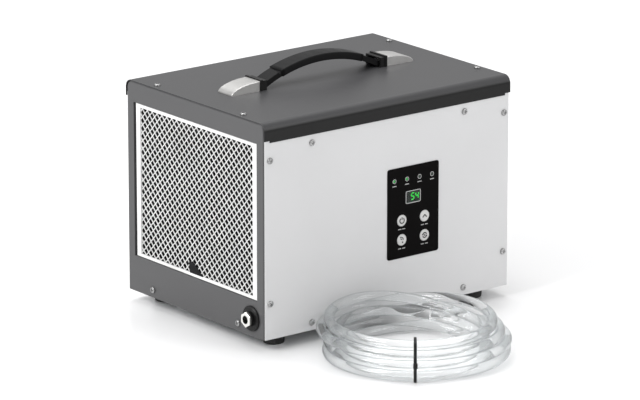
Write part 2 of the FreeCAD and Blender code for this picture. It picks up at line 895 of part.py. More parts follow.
def clip(corners, low_y, low_z, high_y, high_z):
    """Cuts a flat outline down to an upright rectangle, and drops a mere nick."""
    smallest_area = 0.6
    limits = [(0, low_y, 1), (0, high_y, -1), (1, low_z, 1), (1, high_z, -1)]
    for axis, limit, sign in limits:
        kept = []
        for number, here in enumerate(corners):
            before = corners[number - 1]
            inside = sign * (here[axis] - limit) >= 0
            was_inside = sign * (before[axis] - limit) >= 0
            if inside != was_inside:
                share = (limit - before[axis]) / (here[axis] - before[axis])
                kept.append(tuple(b + share * (h - b) for b, h in zip(before, here)))
            if inside:
                kept.append(here)
        corners = kept
    area = sum(a[0] * b[1] - b[0] * a[1] for a, b in zip(corners, corners[1:] + corners[:1])) / 2
    return corners if abs(area) > smallest_area else []


def filter_pad():
    low = (f"{frame_x} + frame_lip + mesh_thick + 2 * lap_gap", f"{window_low[0]} - rebate + pad_gap",
           f"{window_low[1]} - rebate + pad_gap")
    wide = f"({window_high[0]} - {window_low[0]} + 2 * rebate - 2 * pad_gap)"
    high = f"({window_high[1]} - {window_low[1]} + 2 * rebate - 2 * pad_gap)"
    return finished(box("filter_pad", low, ("pad_thick", wide, high)), "filter_pad")


def filter_pull_tab():
    """A folded ribbon at the foot of the net, drawn to one side."""
    body = new_body("filter_pull_tab")
    outline = sketch_on(body, "YZ_Plane", frame_x)
    low = window_low[1]
    foot = f"{low} + seat_gap"
    draw_polygon(outline, [("-ribbon_width / 2", foot), ("ribbon_width / 2 - ribbon_slope", foot),
                           ("ribbon_width / 2", f"{low} + ribbon_height - ribbon_slope"),
                           ("ribbon_width / 4", f"{low} + ribbon_height")])
    pad(body, outline, "mesh_thick")
    return finished(body)


# ---- drain outlet ----

def drain_flange():
    """Black bulkhead ring with a neck that carries the metal fitting."""
    body = new_body("drain_flange")
    flange = sketch_on(body, "YZ_Plane", f"-{end_x} - drain_flange_thick")
    draw_circle(flange, ("-drain_y", drain_z), "drain_flange")
    ring_pad = pad(body, flange, "drain_flange_thick - seat_gap")
    outer = ring_pad.Shape.BoundBox.XMin
    dress(body, "Chamfer", ring_pad, lambda edge: near(middle(edge).x, outer), "flange_bevel")
    neck = sketch_on(body, "YZ_Plane", f"-{end_x} - drain_reach + drain_hex_thick")
    draw_circle(neck, ("-drain_y", drain_z), "drain_neck")
    pad(body, neck, "drain_reach - drain_hex_thick + drain_inside / 2")
    bore = sketch_on(body, "YZ_Plane")
    draw_circle(bore, ("-drain_y", drain_z), "drain_sleeve + 2 * shaft_gap")
    pocket(body, bore)
    return finished(body)


def drain_fitting():
    """Plated hex-faced fitting; the hose's stem goes into its bore."""
    body = new_body("drain_fitting")
    face = sketch_on(body, "YZ_Plane", f"-{end_x} - drain_reach")
    corner = "(drain_hex / sqrt(3))"
    points = []
    for number in range(6):
        turn = math.radians(90 + 60 * number)
        points.append((f"-drain_y + {math.cos(turn):.6f} * {corner}",
                       f"{drain_z} + {math.sin(turn):.6f} * {corner}"))
    draw_polygon(face, points)
    hexagon = pad(body, face, "drain_hex_thick - seat_gap")
    outer = hexagon.Shape.BoundBox.XMin
    dress(body, "Chamfer", hexagon, lambda edge: near(middle(edge).x, outer), "hex_bevel")
    sleeve = sketch_on(body, "YZ_Plane", f"-{end_x} - drain_reach + over_cut")
    draw_circle(sleeve, ("-drain_y", drain_z), "drain_sleeve")
    pad(body, sleeve, "drain_reach - over_cut + drain_inside")
    bore = sketch_on(body, "YZ_Plane")
    draw_circle(bore, ("-drain_y", drain_z), "drain_bore")
    pocket(body, bore)
    return finished(body)


# ---- carrying handle ----

def cap_profile():
    """Half-side outline of an end cap: a quarter of an ellipse on a flat base."""
    inner = size("handle_length") / 2 - size("grip_cap_length")
    base = size("foot_height") + size("case_height")
    long, high = size("grip_cap_length"), size("grip_cap_height")
    curve = Part.Ellipse(Vector(long, 0, 0), Vector(0, high, 0), Vector(0, 0, 0)).toShape(0, math.pi / 2)
    walls = [Part.makeLine(Vector(0, high, 0), Vector()), Part.makeLine(Vector(), Vector(long, 0, 0))]
    wire = Part.Wire([curve] + walls)
    face = Part.Face(wire)
    face.Placement = Placement(Vector(inner, 0, base), along_z_up)
    return face


def handle_cap(side):
    """End cap with a slot for the sliding tab and a blind screw hole."""
    name = "handle_cap_right" if side > 0 else "handle_cap_left"
    face = cap_profile()
    half = size("grip_cap_width") / 2
    back = size("handle_y")
    face.translate(Vector(0, back + half, 0))
    solid = face.extrude(Vector(0, -2 * half, 0))
    if side < 0:
        solid = solid.mirror(Vector(), Vector(1, 0, 0))
    block = doc.addObject("Part::Feature", name + "_block")
    block.Shape = solid
    top_edges = rounded(name + "_soft", block, size("cap_edge"),
                        lambda edge: abs(abs(middle(edge).y - back) - half) < 0.1
                        and middle(edge).z > size("foot_height") + size("case_height") + 2
                        and not runs_along(edge, Vector(0, 0, 1)))
    start = cap_inner if side > 0 else f"-{cap_inner} - tab_length - tab_travel"
    slot = box(name + "_slot", (start, "handle_y - tab_width / 2 - 2 * tab_room",
                                f"{top_z} + tab_lift - tab_room"),
               ("tab_length + tab_travel", "tab_width + 4 * tab_room", "tab_thick + 2 * tab_room"))
    hole = rod(name + "_hole", (f"{'' if side > 0 else '-'}({cap_inner} + grip_screw_inset)", "handle_y",
                                top_z),
               "(thread + thread_gap) / 2", "grip_hole_depth")
    return finished(cut(name, top_edges, slot, hole), name)


def handle_collars():
    """Two black collars at the caps' inner ends, open for the strap."""
    wide = "(grip_cap_width + 2 * collar_over)"
    tall = "(grip_cap_height + collar_over)"
    rim = box("collar_rim", (f"{cap_inner} - collar_rim", f"handle_y - {wide} / 2", top_z),
              ("collar_rim", wide, tall))
    sleeve = box("collar_sleeve", (f"{cap_inner} - collar_length", f"handle_y - {wide} / 2 + collar_step",
                                   top_z),
                 ("collar_length - collar_rim + collar_step", f"{wide} - 2 * collar_step",
                  f"{tall} - collar_roof / 2"))
    window = box("collar_window", (f"{cap_inner} - collar_length - over_cut",
                                   "handle_y - strap_width / 2 - strap_room", f"{top_z} - over_cut"),
                 ("collar_length + 2 * over_cut", "strap_width + 2 * strap_room",
                  f"{tall} - collar_roof + over_cut"))
    collar = cut("collar", fuse("collar_outer", rim, sleeve), window)
    return finished(both_sides("handle_collars", collar, Vector(1, 0, 0)), "handle_collars")


def arch_sector(radius, thick, half_angle, width):
    """A slice of a ring standing in the XZ plane, centred on the handle."""
    centre_z = size("foot_height") + size("case_height") + size("arch_rise") - size("arch_radius")
    start, end = math.radians(90 - half_angle), math.radians(90 + half_angle)
    edges = []
    for distance, ends in ((radius, (start, end)), (radius + thick, (start, end))):
        edges.append(Part.Circle(Vector(), Vector(0, 0, 1), distance).toShape(*ends))
    for turn in (start, end):
        ray = Vector(math.cos(turn), math.sin(turn), 0)
        edges.append(Part.makeLine(ray * radius, ray * (radius + thick)))
    face = Part.Face(Part.Wire(Part.sortEdges(edges)[0]))
    face.Placement = Placement(Vector(0, size("handle_y") + width / 2, centre_z), along_z_up)
    return face.extrude(Vector(0, -width, 0))


def handle_strap():
    """Arched strap with a thicker grip in the middle."""
    radius, thick, back = size("arch_radius"), size("strap_thick"), size("handle_y")
    wide, grip_angle = size("grip_width"), size("grip_half_angle")
    reach = size("handle_length") / 2 - size("grip_cap_length") - size("collar_length") + size("strap_hidden")
    strap = arch_sector(radius, thick, size("strap_half_angle"), size("strap_width"))
    room = Part.makeBox(2 * reach, 2 * wide, radius, Vector(-reach, back - wide,
                                                            size("foot_height") + size("case_height")
                                                            + size("strap_clear")))
    grip = arch_sector(radius - size("grip_step"), size("grip_thick"), grip_angle, wide)
    item = doc.addObject("Part::Feature", "handle_strap_block")
    item.Shape = strap.common(room).fuse(grip).removeSplitter()
    half_grip = radius * math.radians(grip_angle)
    soft = rounded("handle_strap", item, size("grip_edge"),
                   lambda edge: abs(middle(edge).y - back) > wide / 2 - 0.1
                   and edge.Length > half_grip)
    return finished(soft, "handle_strap")


def handle_tab(side):
    """Spring-steel tab on the strap's end, slotted round its screw."""
    name = "handle_tab_right" if side > 0 else "handle_tab_left"
    inner = f"({cap_inner} - collar_length + strap_hidden + lap_gap)"
    start = inner if side > 0 else f"-{inner} - tab_length"
    plate = box(name + "_plate", (start, "handle_y - tab_width / 2", f"{top_z} + tab_lift"),
                ("tab_length", "tab_width", "tab_thick"))
    screw = f"({cap_inner} + grip_screw_inset)"
    far = f"{screw} - tab_travel - {panel_hole} / 2" if side > 0 else f"-{screw} - {panel_hole} / 2"
    slot = box(name + "_slot", (far, f"handle_y - {panel_hole} / 2", f"{top_z} + tab_lift - over_cut"),
               (f"tab_travel + {panel_hole}", panel_hole, "tab_thick + 2 * over_cut"))
    return finished(cut(name, plate, slot), name)


# ---- fasteners ----

def screw(name, width="thread", head="screw_head", length="screw_length"):
    """A pan head screw that stands head up with its head's base at z = 0."""
    blank = rod(name + "_head", ("0", "0", "0"), f"{head} / 2", "head_height")
    dome = rounded(name + "_dome", blank, size("head_edge"), lambda edge: near(middle(edge).z,
                                                                               size("head_height")))
    shank = rod(name + "_shank", ("0", "0", f"-{length}"), f"{width} / 2", f"{length} + sink")
    recess_share = 0.55
    arm = f"{head} * {recess_share}"
    slots = [box(f"{name}_slot_{turn}", (f"-{wide} / 2", f"-{deep} / 2", "head_height - recess_depth"),
                 (wide, deep, "recess_depth + over_cut"))
             for turn, (wide, deep) in enumerate(((arm, "recess_width"), ("recess_width", arm)))]
    return cut(name, fuse(name + "_solid", dome, shank), *slots)


def set_copy(name, template, at, rotation=None):
    """A copy of a shape, moved to its place."""
    moved = doc.addObject("Part::Compound", name)
    moved.Links = [template]
    return place(moved, at, rotation)


def cover_screws():
    template = screw("cover_screw")
    one = set_copy("cover_screw_set", template, (screw_x, "cover_screw_y", top_z))
    return finished(four_corners("cover_screws", one), "cover_screws")


def panel_screws():
    """Eight screws in the front panel and eight in the rear one."""
    template = screw("panel_screw")
    spots = [(screw_x, "side_screw_low"), (screw_x, "side_screw_high"),
             ("mid_screw_x", "low_screw"), ("mid_screw_x", "high_screw")]
    quarter = [set_copy(f"panel_screw_{number}", template, (across, face_y, f"foot_height + {up}"), along_y)
               for number, (across, up) in enumerate(spots)]
    return finished(four_corners("panel_screws", group("panel_screw_quarter", *quarter)), "panel_screws")


def end_screws():
    template = screw("end_screw")
    one = set_copy("end_screw_set", template, (end_x, "end_screw_y", "foot_height + low_screw"), along_x)
    return finished(four_corners("end_screws", one), "end_screws")


def handle_screws():
    """One screw up through the cover and each tab's slot into its cap."""
    template = screw("handle_screw", length="grip_screw_length")
    head_down = Rotation(Vector(1, 0, 0), 180)
    one = set_copy("handle_screw_set", template,
                    (f"{cap_inner} + grip_screw_inset", "handle_y", f"{top_z} - wall"), head_down)
    return finished(both_sides("handle_screws", one, Vector(1, 0, 0)), "handle_screws")


def rubber_feet():
    width = "foot_width / 2"
    across, back = f"{end_x} - foot_inset_x", "case_depth / 2 - foot_inset_y"
    body = cone("foot_body", (across, back, "0"), f"{width} - foot_taper", width, "foot_height - seat_gap")
    soft = rounded("foot_soft", body, size("foot_taper"), lambda edge: near(middle(edge).z, 0))
    well = rod("foot_well", (across, back, "-over_cut"), "foot_screw_head / 2 + foot_well_gap",
               "foot_well + over_cut")
    hole = rod("foot_hole", (across, back, "0"), "(foot_screw + thread_gap) / 2", "foot_height + over_cut")
    return finished(four_corners("rubber_feet", cut("rubber_foot", soft, well, hole)), "rubber_feet")


def foot_screws():
    template = screw("foot_screw_one", width="foot_screw", head="foot_screw_head", length="foot_screw_length")
    head_down = Rotation(Vector(1, 0, 0), 180)
    one = set_copy("foot_screw_set", template,
                    (f"{end_x} - foot_inset_x", "case_depth / 2 - foot_inset_y", "foot_well"), head_down)
    return finished(four_corners("foot_screws", one), "foot_screws")


# ---- control panel ----

def control_overlay():
    """Black faceplate with openings for the window, lamps and buttons."""
    body = new_body("control_overlay")
    outline = sketch_on(body, "XZ_Plane", face_y)
    wide, high = "overlay_width / 2", "overlay_height / 2"
    draw_box(outline, (f"overlay_x - {wide}", f"{overlay_z} - {high}"),
             (f"overlay_x + {wide}", f"{overlay_z} + {high}"))
    plate = pad(body, outline, "overlay_thick")
    dress(body, "Fillet", plate, lambda edge: runs_along(edge, Vector(0, 1, 0)), "overlay_corner")
    openings = sketch_on(body, "XZ_Plane")
    half_width, half_height = "(window_width / 2 + window_gap)", "(window_height / 2 + window_gap)"
    draw_box(openings, (f"overlay_x - {half_width}", f"{window_z} - {half_height}"),
             (f"overlay_x + {half_width}", f"{window_z} + {half_height}"))
    for across in led_places:
        draw_circle(openings, (across, led_z), "led_width + lap_gap")
    for across, up in button_places.values():
        draw_circle(openings, (across, up), "button_width + 2 * button_gap")
    pocket(body, openings)
    return finished(body)


def button(name):
    """Round key cap with a flange behind the panel and a stem to its switch."""
    across, up = button_places[name]
    body = new_body(name)
    cap = sketch_on(body, "XZ_Plane", f"{face_y} - wall - key_root")
    draw_circle(cap, (across, up), "button_width")
    key = pad(body, cap, "wall + key_root + overlay_thick + button_proud")
    front = key.Shape.BoundBox.YMin
    dress(body, "Fillet", key, lambda edge: near(middle(edge).y, front), "key_edge")
    flange = sketch_on(body, "XZ_Plane", f"{face_y} - wall - key_flange_gap")
    draw_circle(flange, (across, up), "button_width + 2 * key_flange")
    pad(body, flange, "key_flange_thick", reverse=True)
    stem = sketch_on(body, "XZ_Plane", f"{face_y} - wall - key_root")
    draw_circle(stem, (across, up), "key_stem")
    pad(body, stem,
        "board_depth - wall - key_root - switch_height - plunger_reach - seat_gap - button_travel",
        reverse=True)
    return finished(body)


def display_window():
    """Clear lens of the humidity display."""
    lens = box("display_window", ("overlay_x - window_width / 2", f"-{face_y} - overlay_thick - window_proud",
                                  f"{window_z} - window_height / 2"),
               ("window_width", "overlay_thick + window_proud", "window_height"))
    return finished(lens, "display_window")


def display_module():
    """Three-digit segment display, soldered to the board behind the window."""
    wide, high = "(window_width - module_inset_x)", "(window_height - module_inset_z)"
    module = box("display_module", (f"overlay_x - {wide} / 2", f"-{face_y} + lap_gap",
                                    f"{window_z} - {high} / 2"),
                 (wide, "board_depth - lap_gap - module_gap", high))
    return finished(module, "display_module")


def indicator_leds():
    """Four domed lamps in a row."""
    lamps = []
    for number, across in enumerate(led_places, start=1):
        stem = rod(f"led_stem_{number}", (across, f"-{board_y} - module_gap", led_z), "led_width / 2",
                   "board_depth - module_gap + overlay_thick + led_proud", against_y)
        dome = rounded(f"led_dome_{number}", stem, size("led_dome"),
                       lambda edge: near(middle(edge).y, stem.Shape.BoundBox.YMin))
        lamps.append(dome)
    return finished(group("indicator_leds", *lamps), "indicator_leds")


def control_board():
    """Circuit board with four key switches and its four standoffs."""
    wide, high = "(overlay_width - board_inset_x)", "(overlay_height - board_inset_z)"
    low_x, low_z = f"overlay_x - {wide} / 2", f"{overlay_z} - {high} / 2"
    pieces = [box("board_plate", (low_x, f"-{board_y}", low_z), (wide, "board_thick", high))]
    for name, (across, up) in button_places.items():
        pieces.append(box(name + "_switch", (f"{across} - switch_width / 2", f"-{board_y} - switch_height",
                                             f"{up} - switch_width / 2"),
                          ("switch_width", "switch_height + sink", "switch_width")))
        pieces.append(rod(name + "_plunger", (across, f"-{board_y} - switch_height + sink", up),
                          "plunger_width / 2", "plunger_reach + sink", against_y))
    for number, (side, level) in enumerate(((-1, -1), (1, -1), (-1, 1), (1, 1))):
        at = (f"overlay_x + {side} * ({wide} / 2 - standoff_inset)", f"-{board_y} + sink",
              f"{overlay_z} + {level} * ({high} / 2 - standoff_inset)")
        pieces.append(rod(f"standoff_{number}", at, "standoff_width / 2",
                          "board_depth - wall + sink - seat_gap", against_y))
    return finished(fuse("control_board", *pieces), "control_board")


# ---- cooling circuit ----

def heat_exchanger(name, start, depth):
    """Finned block with tube sheets and return bends at both ends."""
    half = "coil_width / 2"
    core = box(name + "_core", (start, f"-{half}", coil_z), (depth, "coil_width", "coil_height"))
    pieces = [core]
    bends = 4
    for side, at in ((-1, f"-{half} - sheet_thick"), (1, half)):
        pieces.append(box(f"{name}_sheet_{side}", (f"{start} - sheet_lip", at, f"{coil_z} - sheet_lip"),
                          (f"{depth} + 2 * sheet_lip", "sheet_thick", "coil_height + 2 * sheet_lip")))
        for row in range(bends):
            pieces.append(ring(f"{name}_bend_{side}_{row}",
                               (f"{start} + {depth} / 2", f"{side} * ({half} + sheet_thick)",
                                f"{coil_z} + coil_height * {(2 * row + 1) / (2 * bends)}"),
                               "bend_radius", "bend_pipe / 2", along_x))
    return finished(fuse(name, *pieces), name)


def drip_tray():
    """Open plastic tray under both exchangers, with a spout to the pump."""
    body = new_body("drip_tray")
    outline = sketch_on(body, "XY_Plane", tray_z)
    draw_box(outline, ("-evaporator_x - tray_margin_x", "-coil_width / 2 - tray_margin_y"),
             ("-condenser_x + condenser_depth + tray_margin_x", "coil_width / 2 + tray_margin_y"))
    block = pad(body, outline, "coil_lift - tray_lift - tray_gap")
    top = block.Shape.BoundBox.ZMax
    dress(body, "Thickness", block, lambda face: near(middle(face).z, top), "tray_wall", faces=True)
    spout = sketch_on(body, "XY_Plane", tray_z)
    draw_circle(spout, ("-condenser_x + condenser_depth - spout_inset", "-spout_y"), "spout_width")
    pocket(body, spout, "tray_wall + over_cut", reverse=True)
    return finished(body)


def compressor_shell():
    """Hermetic steel shell, hollow, with a bearing plate and three ears."""
    centre = ("compressor_x", "compressor_y")
    half = "compressor_width / 2"
    outside = rod("shell_outside", (*centre, shell_z), half, "compressor_height")
    domed = rounded("shell_domed", outside, size("shell_dome"),
                    lambda edge: near(middle(edge).z, outside.Shape.BoundBox.ZMax))
    inside = rod("shell_inside", (*centre, f"{shell_z} + shell_wall"), f"{half} - shell_wall",
                 "compressor_height - 2 * shell_wall")
    room = rounded("shell_room", inside, size("shell_dome") - size("shell_wall"),
                   lambda edge: near(middle(edge).z, inside.Shape.BoundBox.ZMax))
    plate = rod("bearing_plate", (*centre, f"{shell_z} + bearing_height"), f"{half} - shell_wall + sink",
                "bearing_thick")
    bore = rod("bearing_bore", (*centre, f"{shell_z} + bearing_height - over_cut"),
               "crank_width / 2 + shaft_gap", "bearing_thick + 2 * over_cut")
    ears = [rod(f"ear_{number}", (across, back, f"{shell_z} + ear_height"), "ear_width / 2", "ear_thick")
            for number, (across, back) in enumerate(mount_places)]
    holes = [rod(f"ear_hole_{number}", (across, back, shell_z), "mount_neck / 2 + lap_gap / 2",
                 "ear_height + ear_thick + over_cut") for number, (across, back) in enumerate(mount_places)]
    # a plain cylinder just inside the shell's surface trims the ears
    trim = rod("shell_trim", (*centre, shell_z), f"{half} - sink", "ear_height + ear_thick + over_cut")
    walled = cut("shell_bored", fuse("shell_whole", cut("shell_hollow", domed, room), plate), bore)
    outer_ears = cut("shell_ears", fuse("shell_ear_discs", *ears), trim, *holes)
    return finished(fuse("compressor_shell", walled, outer_ears), "compressor_shell")


def compressor_stator():
    centre = ("compressor_x", "compressor_y")
    outer = rod("stator_outer", (*centre, rotor_z), "compressor_width / 2 - shell_wall - seat_gap",
                "rotor_height")
    inner = rod("stator_inner", (*centre, f"{rotor_z} - over_cut"), "rotor_width / 2 + air_gap",
                "rotor_height + 2 * over_cut")
    return finished(cut("compressor_stator", outer, inner), "compressor_stator")


def compressor_rotor():
    """Motor rotor on its shaft, with the eccentric of the rolling piston."""
    centre = ("compressor_x", "compressor_y")
    drum = rod("rotor_drum", (*centre, rotor_z), "rotor_width / 2", "rotor_height")
    shaft = rod("rotor_shaft", (*centre, f"{shell_z} + crank_low"), "crank_width / 2",
                "rotor_lift + rotor_height + crank_over - crank_low")
    lobe = rod("rotor_lobe", ("compressor_x + lobe_offset", "compressor_y", f"{shell_z} + lobe_low"),
               "lobe_width / 2", "lobe_height")
    return finished(fuse("compressor_rotor", drum, shaft, lobe), "compressor_rotor")


def compressor_mounts():
    """Three rubber grommets between the ears and the pan."""
    ear_top = f"{shell_z} + ear_height + ear_thick"
    mounts = []
    for number, (across, back) in enumerate(mount_places):
        low = rod(f"mount_low_{number}", (across, back, tank_z), "mount_reach - mount_gap",
                  "compressor_lift - wall + ear_height - 2 * seat_gap")
        neck = rod(f"mount_neck_{number}", (across, back, shell_z), "mount_neck / 2",
                   "ear_height + ear_thick + over_cut")
        rim = rod(f"mount_rim_{number}", (across, back, f"{ear_top} + seat_gap"), "mount_rim / 2",
                  "ear_thick")
        hole = rod(f"mount_hole_{number}", (across, back, "foot_height"),
                   "(thread + mount_bore_gap) / 2", "compressor_lift + mount_rim")
        mounts.append(cut(f"mount_{number}", fuse(f"mount_solid_{number}", low, neck, rim), hole))
    return finished(group("compressor_mounts", *mounts), "compressor_mounts")


def bent_tube(points, radius, bend):
    """A round bar along straight runs joined by tangent arcs."""
    edges = []
    start = points[0]
    for before, corner, after in zip(points, points[1:], points[2:]):
        inward = (before - corner).normalize()
        outward = (after - corner).normalize()
        turn = math.pi - inward.getAngle(outward)
        shorter = min((before - corner).Length, (after - corner).Length)
        arc_radius = min(bend, 0.45 * shorter / math.tan(turn / 2))
        reach = arc_radius * math.tan(turn / 2)
        first, last = corner + inward * reach, corner + outward * reach
        bisector = (inward + outward).normalize()
        crown = corner + bisector * (arc_radius / math.cos(turn / 2) - arc_radius)
        edges.append(Part.makeLine(start, first))
        edges.append(Part.Arc(first, crown, last).toShape())
        start = last
    edges.append(Part.makeLine(start, points[-1]))
    path = Part.Wire(edges)
    section = Part.Wire(Part.makeCircle(radius, points[0], points[1] - points[0]))
    return path.makePipeShell([section], True, True)


def tube(name, points, radius, bend):
    item = doc.addObject("Part::Feature", name)
    item.Shape = bent_tube([Vector(*point) for point in points], radius, bend)
    return item


def pipe_places():
    """Numbers that the pipes share: their lane, the coils' side and middles."""
    lane = size("pipe_y")
    side = size("coil_width") / 2 + size("sheet_thick")
    evaporator = -size("evaporator_x") + size("evaporator_depth") / 2
    condenser = -size("condenser_x") + size("condenser_depth") / 2
    return lane, side, evaporator, condenser


def above_floor(name):
    return size("foot_height") + size(name)


def shell_port(side):
    """Place on top of the compressor's shell where a pipe comes out."""
    return (size("compressor_x") + side * size("pipe_spread"),
            size("compressor_y") - side * size("pipe_shift"),
            above_floor("compressor_lift") + size("compressor_height"))


def suction_line():
    lane, side, evaporator, _ = pipe_places()
    height = above_floor("suction_lift")
    across, back, top = shell_port(-1)
    loop = top + size("suction_loop")
    points = [(evaporator, side, height), (evaporator, lane, height), (across, lane, height),
              (across, lane, loop), (across, back, loop), (across, back, top)]
    return finished(tube("suction_line", points, size("suction_pipe") / 2, size("pipe_bend")))


def discharge_line():
    lane, side, _, condenser = pipe_places()
    height = above_floor("gas_lift")
    across, back, top = shell_port(1)
    loop = top + size("gas_loop")
    points = [(across, back, top), (across, back, loop), (across, lane, loop), (across, lane, height),
              (condenser, lane, height), (condenser, side, height)]
    return finished(tube("discharge_line", points, size("gas_pipe") / 2, size("pipe_bend")))


def filter_drier():
    """Liquid line from the condenser into the drier's copper body."""
    lane, side, _, condenser = pipe_places()
    height = above_floor("liquid_lift")
    line = tube("liquid_line", [(condenser, side, height), (condenser, lane, height),
                                (size("drier_start") + size("drier_edge") + size("over_cut"), lane, height)],
                size("gas_pipe") / 2, size("pipe_bend"))
    barrel = rod("drier_barrel", ("drier_start", "pipe_y", liquid_z), "drier_width / 2", "drier_length",
                 along_x)
    soft = rounded("drier_soft", barrel, size("drier_edge"), lambda edge: not runs_along(edge, Vector(1, 0,
                                                                                                      0)))
    return finished(fuse("filter_drier", line, soft), "filter_drier")


def capillary_tube():
    """Thin pipe from the drier round the liquid line back to the evaporator."""
    lane, side, evaporator, _ = pipe_places()
    height = above_floor("liquid_lift")
    raised = height + size("capillary_rise")
    outer = lane + size("pipe_bend")
    drier = size("drier_start")
    start = drier + size("drier_length")
    turn, step = start + size("capillary_out"), size("capillary_step")
    behind = drier - size("capillary_rise")
    points = [(start, lane, height), (turn, lane, height), (turn, outer, height), (behind, outer, height),
              (behind - step, lane, raised), (evaporator, lane, raised), (evaporator, side, raised)]
    return finished(tube("capillary_tube", points, size("capillary") / 2, size("capillary_bend")))


# ---- fan ----

def fan_motor():
    """Motor can held on four arms behind the bulkhead, hollow for its rotor."""
    front = "(-bulkhead_x + motor_gap)"
    can = rod("motor_can", (front, "0", fan_z), "motor_width / 2", "motor_length", along_x)
    soft = rounded("motor_soft", can, size("motor_edge"), lambda edge: not runs_along(edge, Vector(1, 0, 0)))
    room = rod("motor_room_tool", (f"{front} + motor_end", "0", fan_z), "motor_room / 2",
               "motor_length - motor_end - motor_far_end", along_x)
    bore = rod("motor_bore", (f"{front} - over_cut", "0", fan_z), "fan_shaft / 2 + shaft_gap",
               "motor_end + 2 * over_cut", along_x)
    # one arm and its leg along +Y, copied by quarter turns about the shaft
    reach = "(fan_opening / 2 + arm_width)"
    arm = box("motor_arm", (f"{front} + arm_step", "arm_start", "-arm_width / 2"),
              ("arm_thick", f"{reach} - arm_start", "arm_width"))
    leg = box("motor_leg", ("-bulkhead_x + wall + seat_gap", f"{reach} - leg_width", "-arm_width / 2"),
              ("motor_gap + arm_step + arm_thick - wall - seat_gap", "leg_width", "arm_width"))
    bracket = fuse("motor_bracket", arm, leg)
    quarters = [set_copy(f"motor_bracket_{number}", bracket, ("0", "0", fan_z), Rotation(Vector(1, 0, 0),
                                                                                         90 * number))
                for number in range(4)]
    return finished(cut("fan_motor", fuse("motor_solid", soft, *quarters), room, bore), "fan_motor")


def fan_shaft():
    """Shaft with the motor's rotor drum."""
    shaft = rod("shaft_rod", ("-bulkhead_x - shaft_reach", "0", fan_z), "fan_shaft / 2", "shaft_length",
                along_x)
    drum = rod("shaft_drum", ("-bulkhead_x + motor_gap + motor_end + fan_rotor_gap", "0", fan_z),
               "fan_rotor_width / 2", "fan_rotor_length", along_x)
    return finished(fuse("fan_shaft", shaft, drum), "fan_shaft")


def fan_wheel():
    """Hub with pitched blades, turned about X."""
    body = new_body("fan_wheel")
    hub = sketch_on(body, "YZ_Plane", "-fan_depth / 2")
    draw_circle(hub, ("0", "0"), "fan_hub")
    pad(body, hub, "fan_depth")
    blade = sketch_on(body, "XY_Plane", "fan_hub / 2 - blade_thick")
    near_edge, far_edge = "(fan_depth / 2 - blade_inset)", "(fan_depth / 2 - blade_inset - blade_thick)"
    draw_polygon(blade, [(f"-{near_edge}", "-blade_chord / 2"), (f"-{far_edge}", "-blade_chord / 2"),
                         (near_edge, "blade_chord / 2"), (far_edge, "blade_chord / 2")])
    first = pad(body, blade, "fan_width / 2 - fan_hub / 2 + blade_thick - tip_gap")
    ring_of_blades = body.newObject("PartDesign::PolarPattern", "fan_wheel_pattern")
    ring_of_blades.Originals = [first]
    axis = next(item for item in body.Origin.OriginFeatures if item.Role == "X_Axis")
    ring_of_blades.Axis = (axis, [""])
    ring_of_blades.Angle = 360
    ring_of_blades.Occurrences = int(size("blade_count"))
    body.Tip = ring_of_blades
    doc.recompute()
    bore = sketch_on(body, "YZ_Plane")
    draw_circle(bore, ("0", "0"), "fan_shaft")
    pocket(body, bore)
    return finished(place(body, ("-bulkhead_x + wheel_gap", "0", fan_z)))


# ---- condensate pump ----

def pump_tank():
    """Closed tank with a guide post for the float and a shaft hole."""
    low = ("pump_x - pump_length / 2", "-pump_y - pump_width / 2", tank_z)
    outer = box("tank_outer", low, ("pump_length", "pump_width", "pump_height"))
    soft = rounded("tank_soft", outer, size("pump_corner"), lambda edge: runs_along(edge, Vector(0, 0, 1)))
    inner = box("tank_inner", tuple(f"{text} + pump_wall" for text in low),
                ("pump_length - 2 * pump_wall", "pump_width - 2 * pump_wall", "pump_height - 2 * pump_wall"))
    post = rod("tank_post", ("pump_x - pump_spread", "-pump_y", f"{tank_z} + pump_wall - sink"),
               "post_width / 2", "pump_height - 2 * pump_wall + 2 * sink")
    hole = rod("tank_hole", ("pump_x + pump_spread", "-pump_y",
                             f"{tank_z} + pump_height - pump_wall - over_cut"),
               "pump_shaft / 2 + shaft_gap", "pump_wall + 2 * over_cut")
    return finished(cut("pump_tank", fuse("tank_with_post", cut("tank_shell", soft, inner), post), hole),
                    "pump_tank")


def pump_motor():
    centre = ("pump_x + pump_spread", "-pump_y")
    can = rod("pump_can", (*centre, pump_top), "pump_can_width / 2", "pump_can_height")
    soft = rounded("pump_can_soft", can, size("pump_wall"),
                   lambda edge: middle(edge).z > can.Shape.BoundBox.ZMax - 1)
    room = rod("pump_room", (*centre, f"{pump_top} + pump_can_wall"),
               "pump_can_width / 2 - pump_can_wall - over_cut", "pump_can_height - 2 * pump_can_wall")
    hole = rod("pump_hole", (*centre, f"{pump_top} - over_cut"), "pump_shaft / 2 + shaft_gap",
               "pump_can_wall + 2 * over_cut")
    return finished(cut("pump_motor", soft, room, hole), "pump_motor")


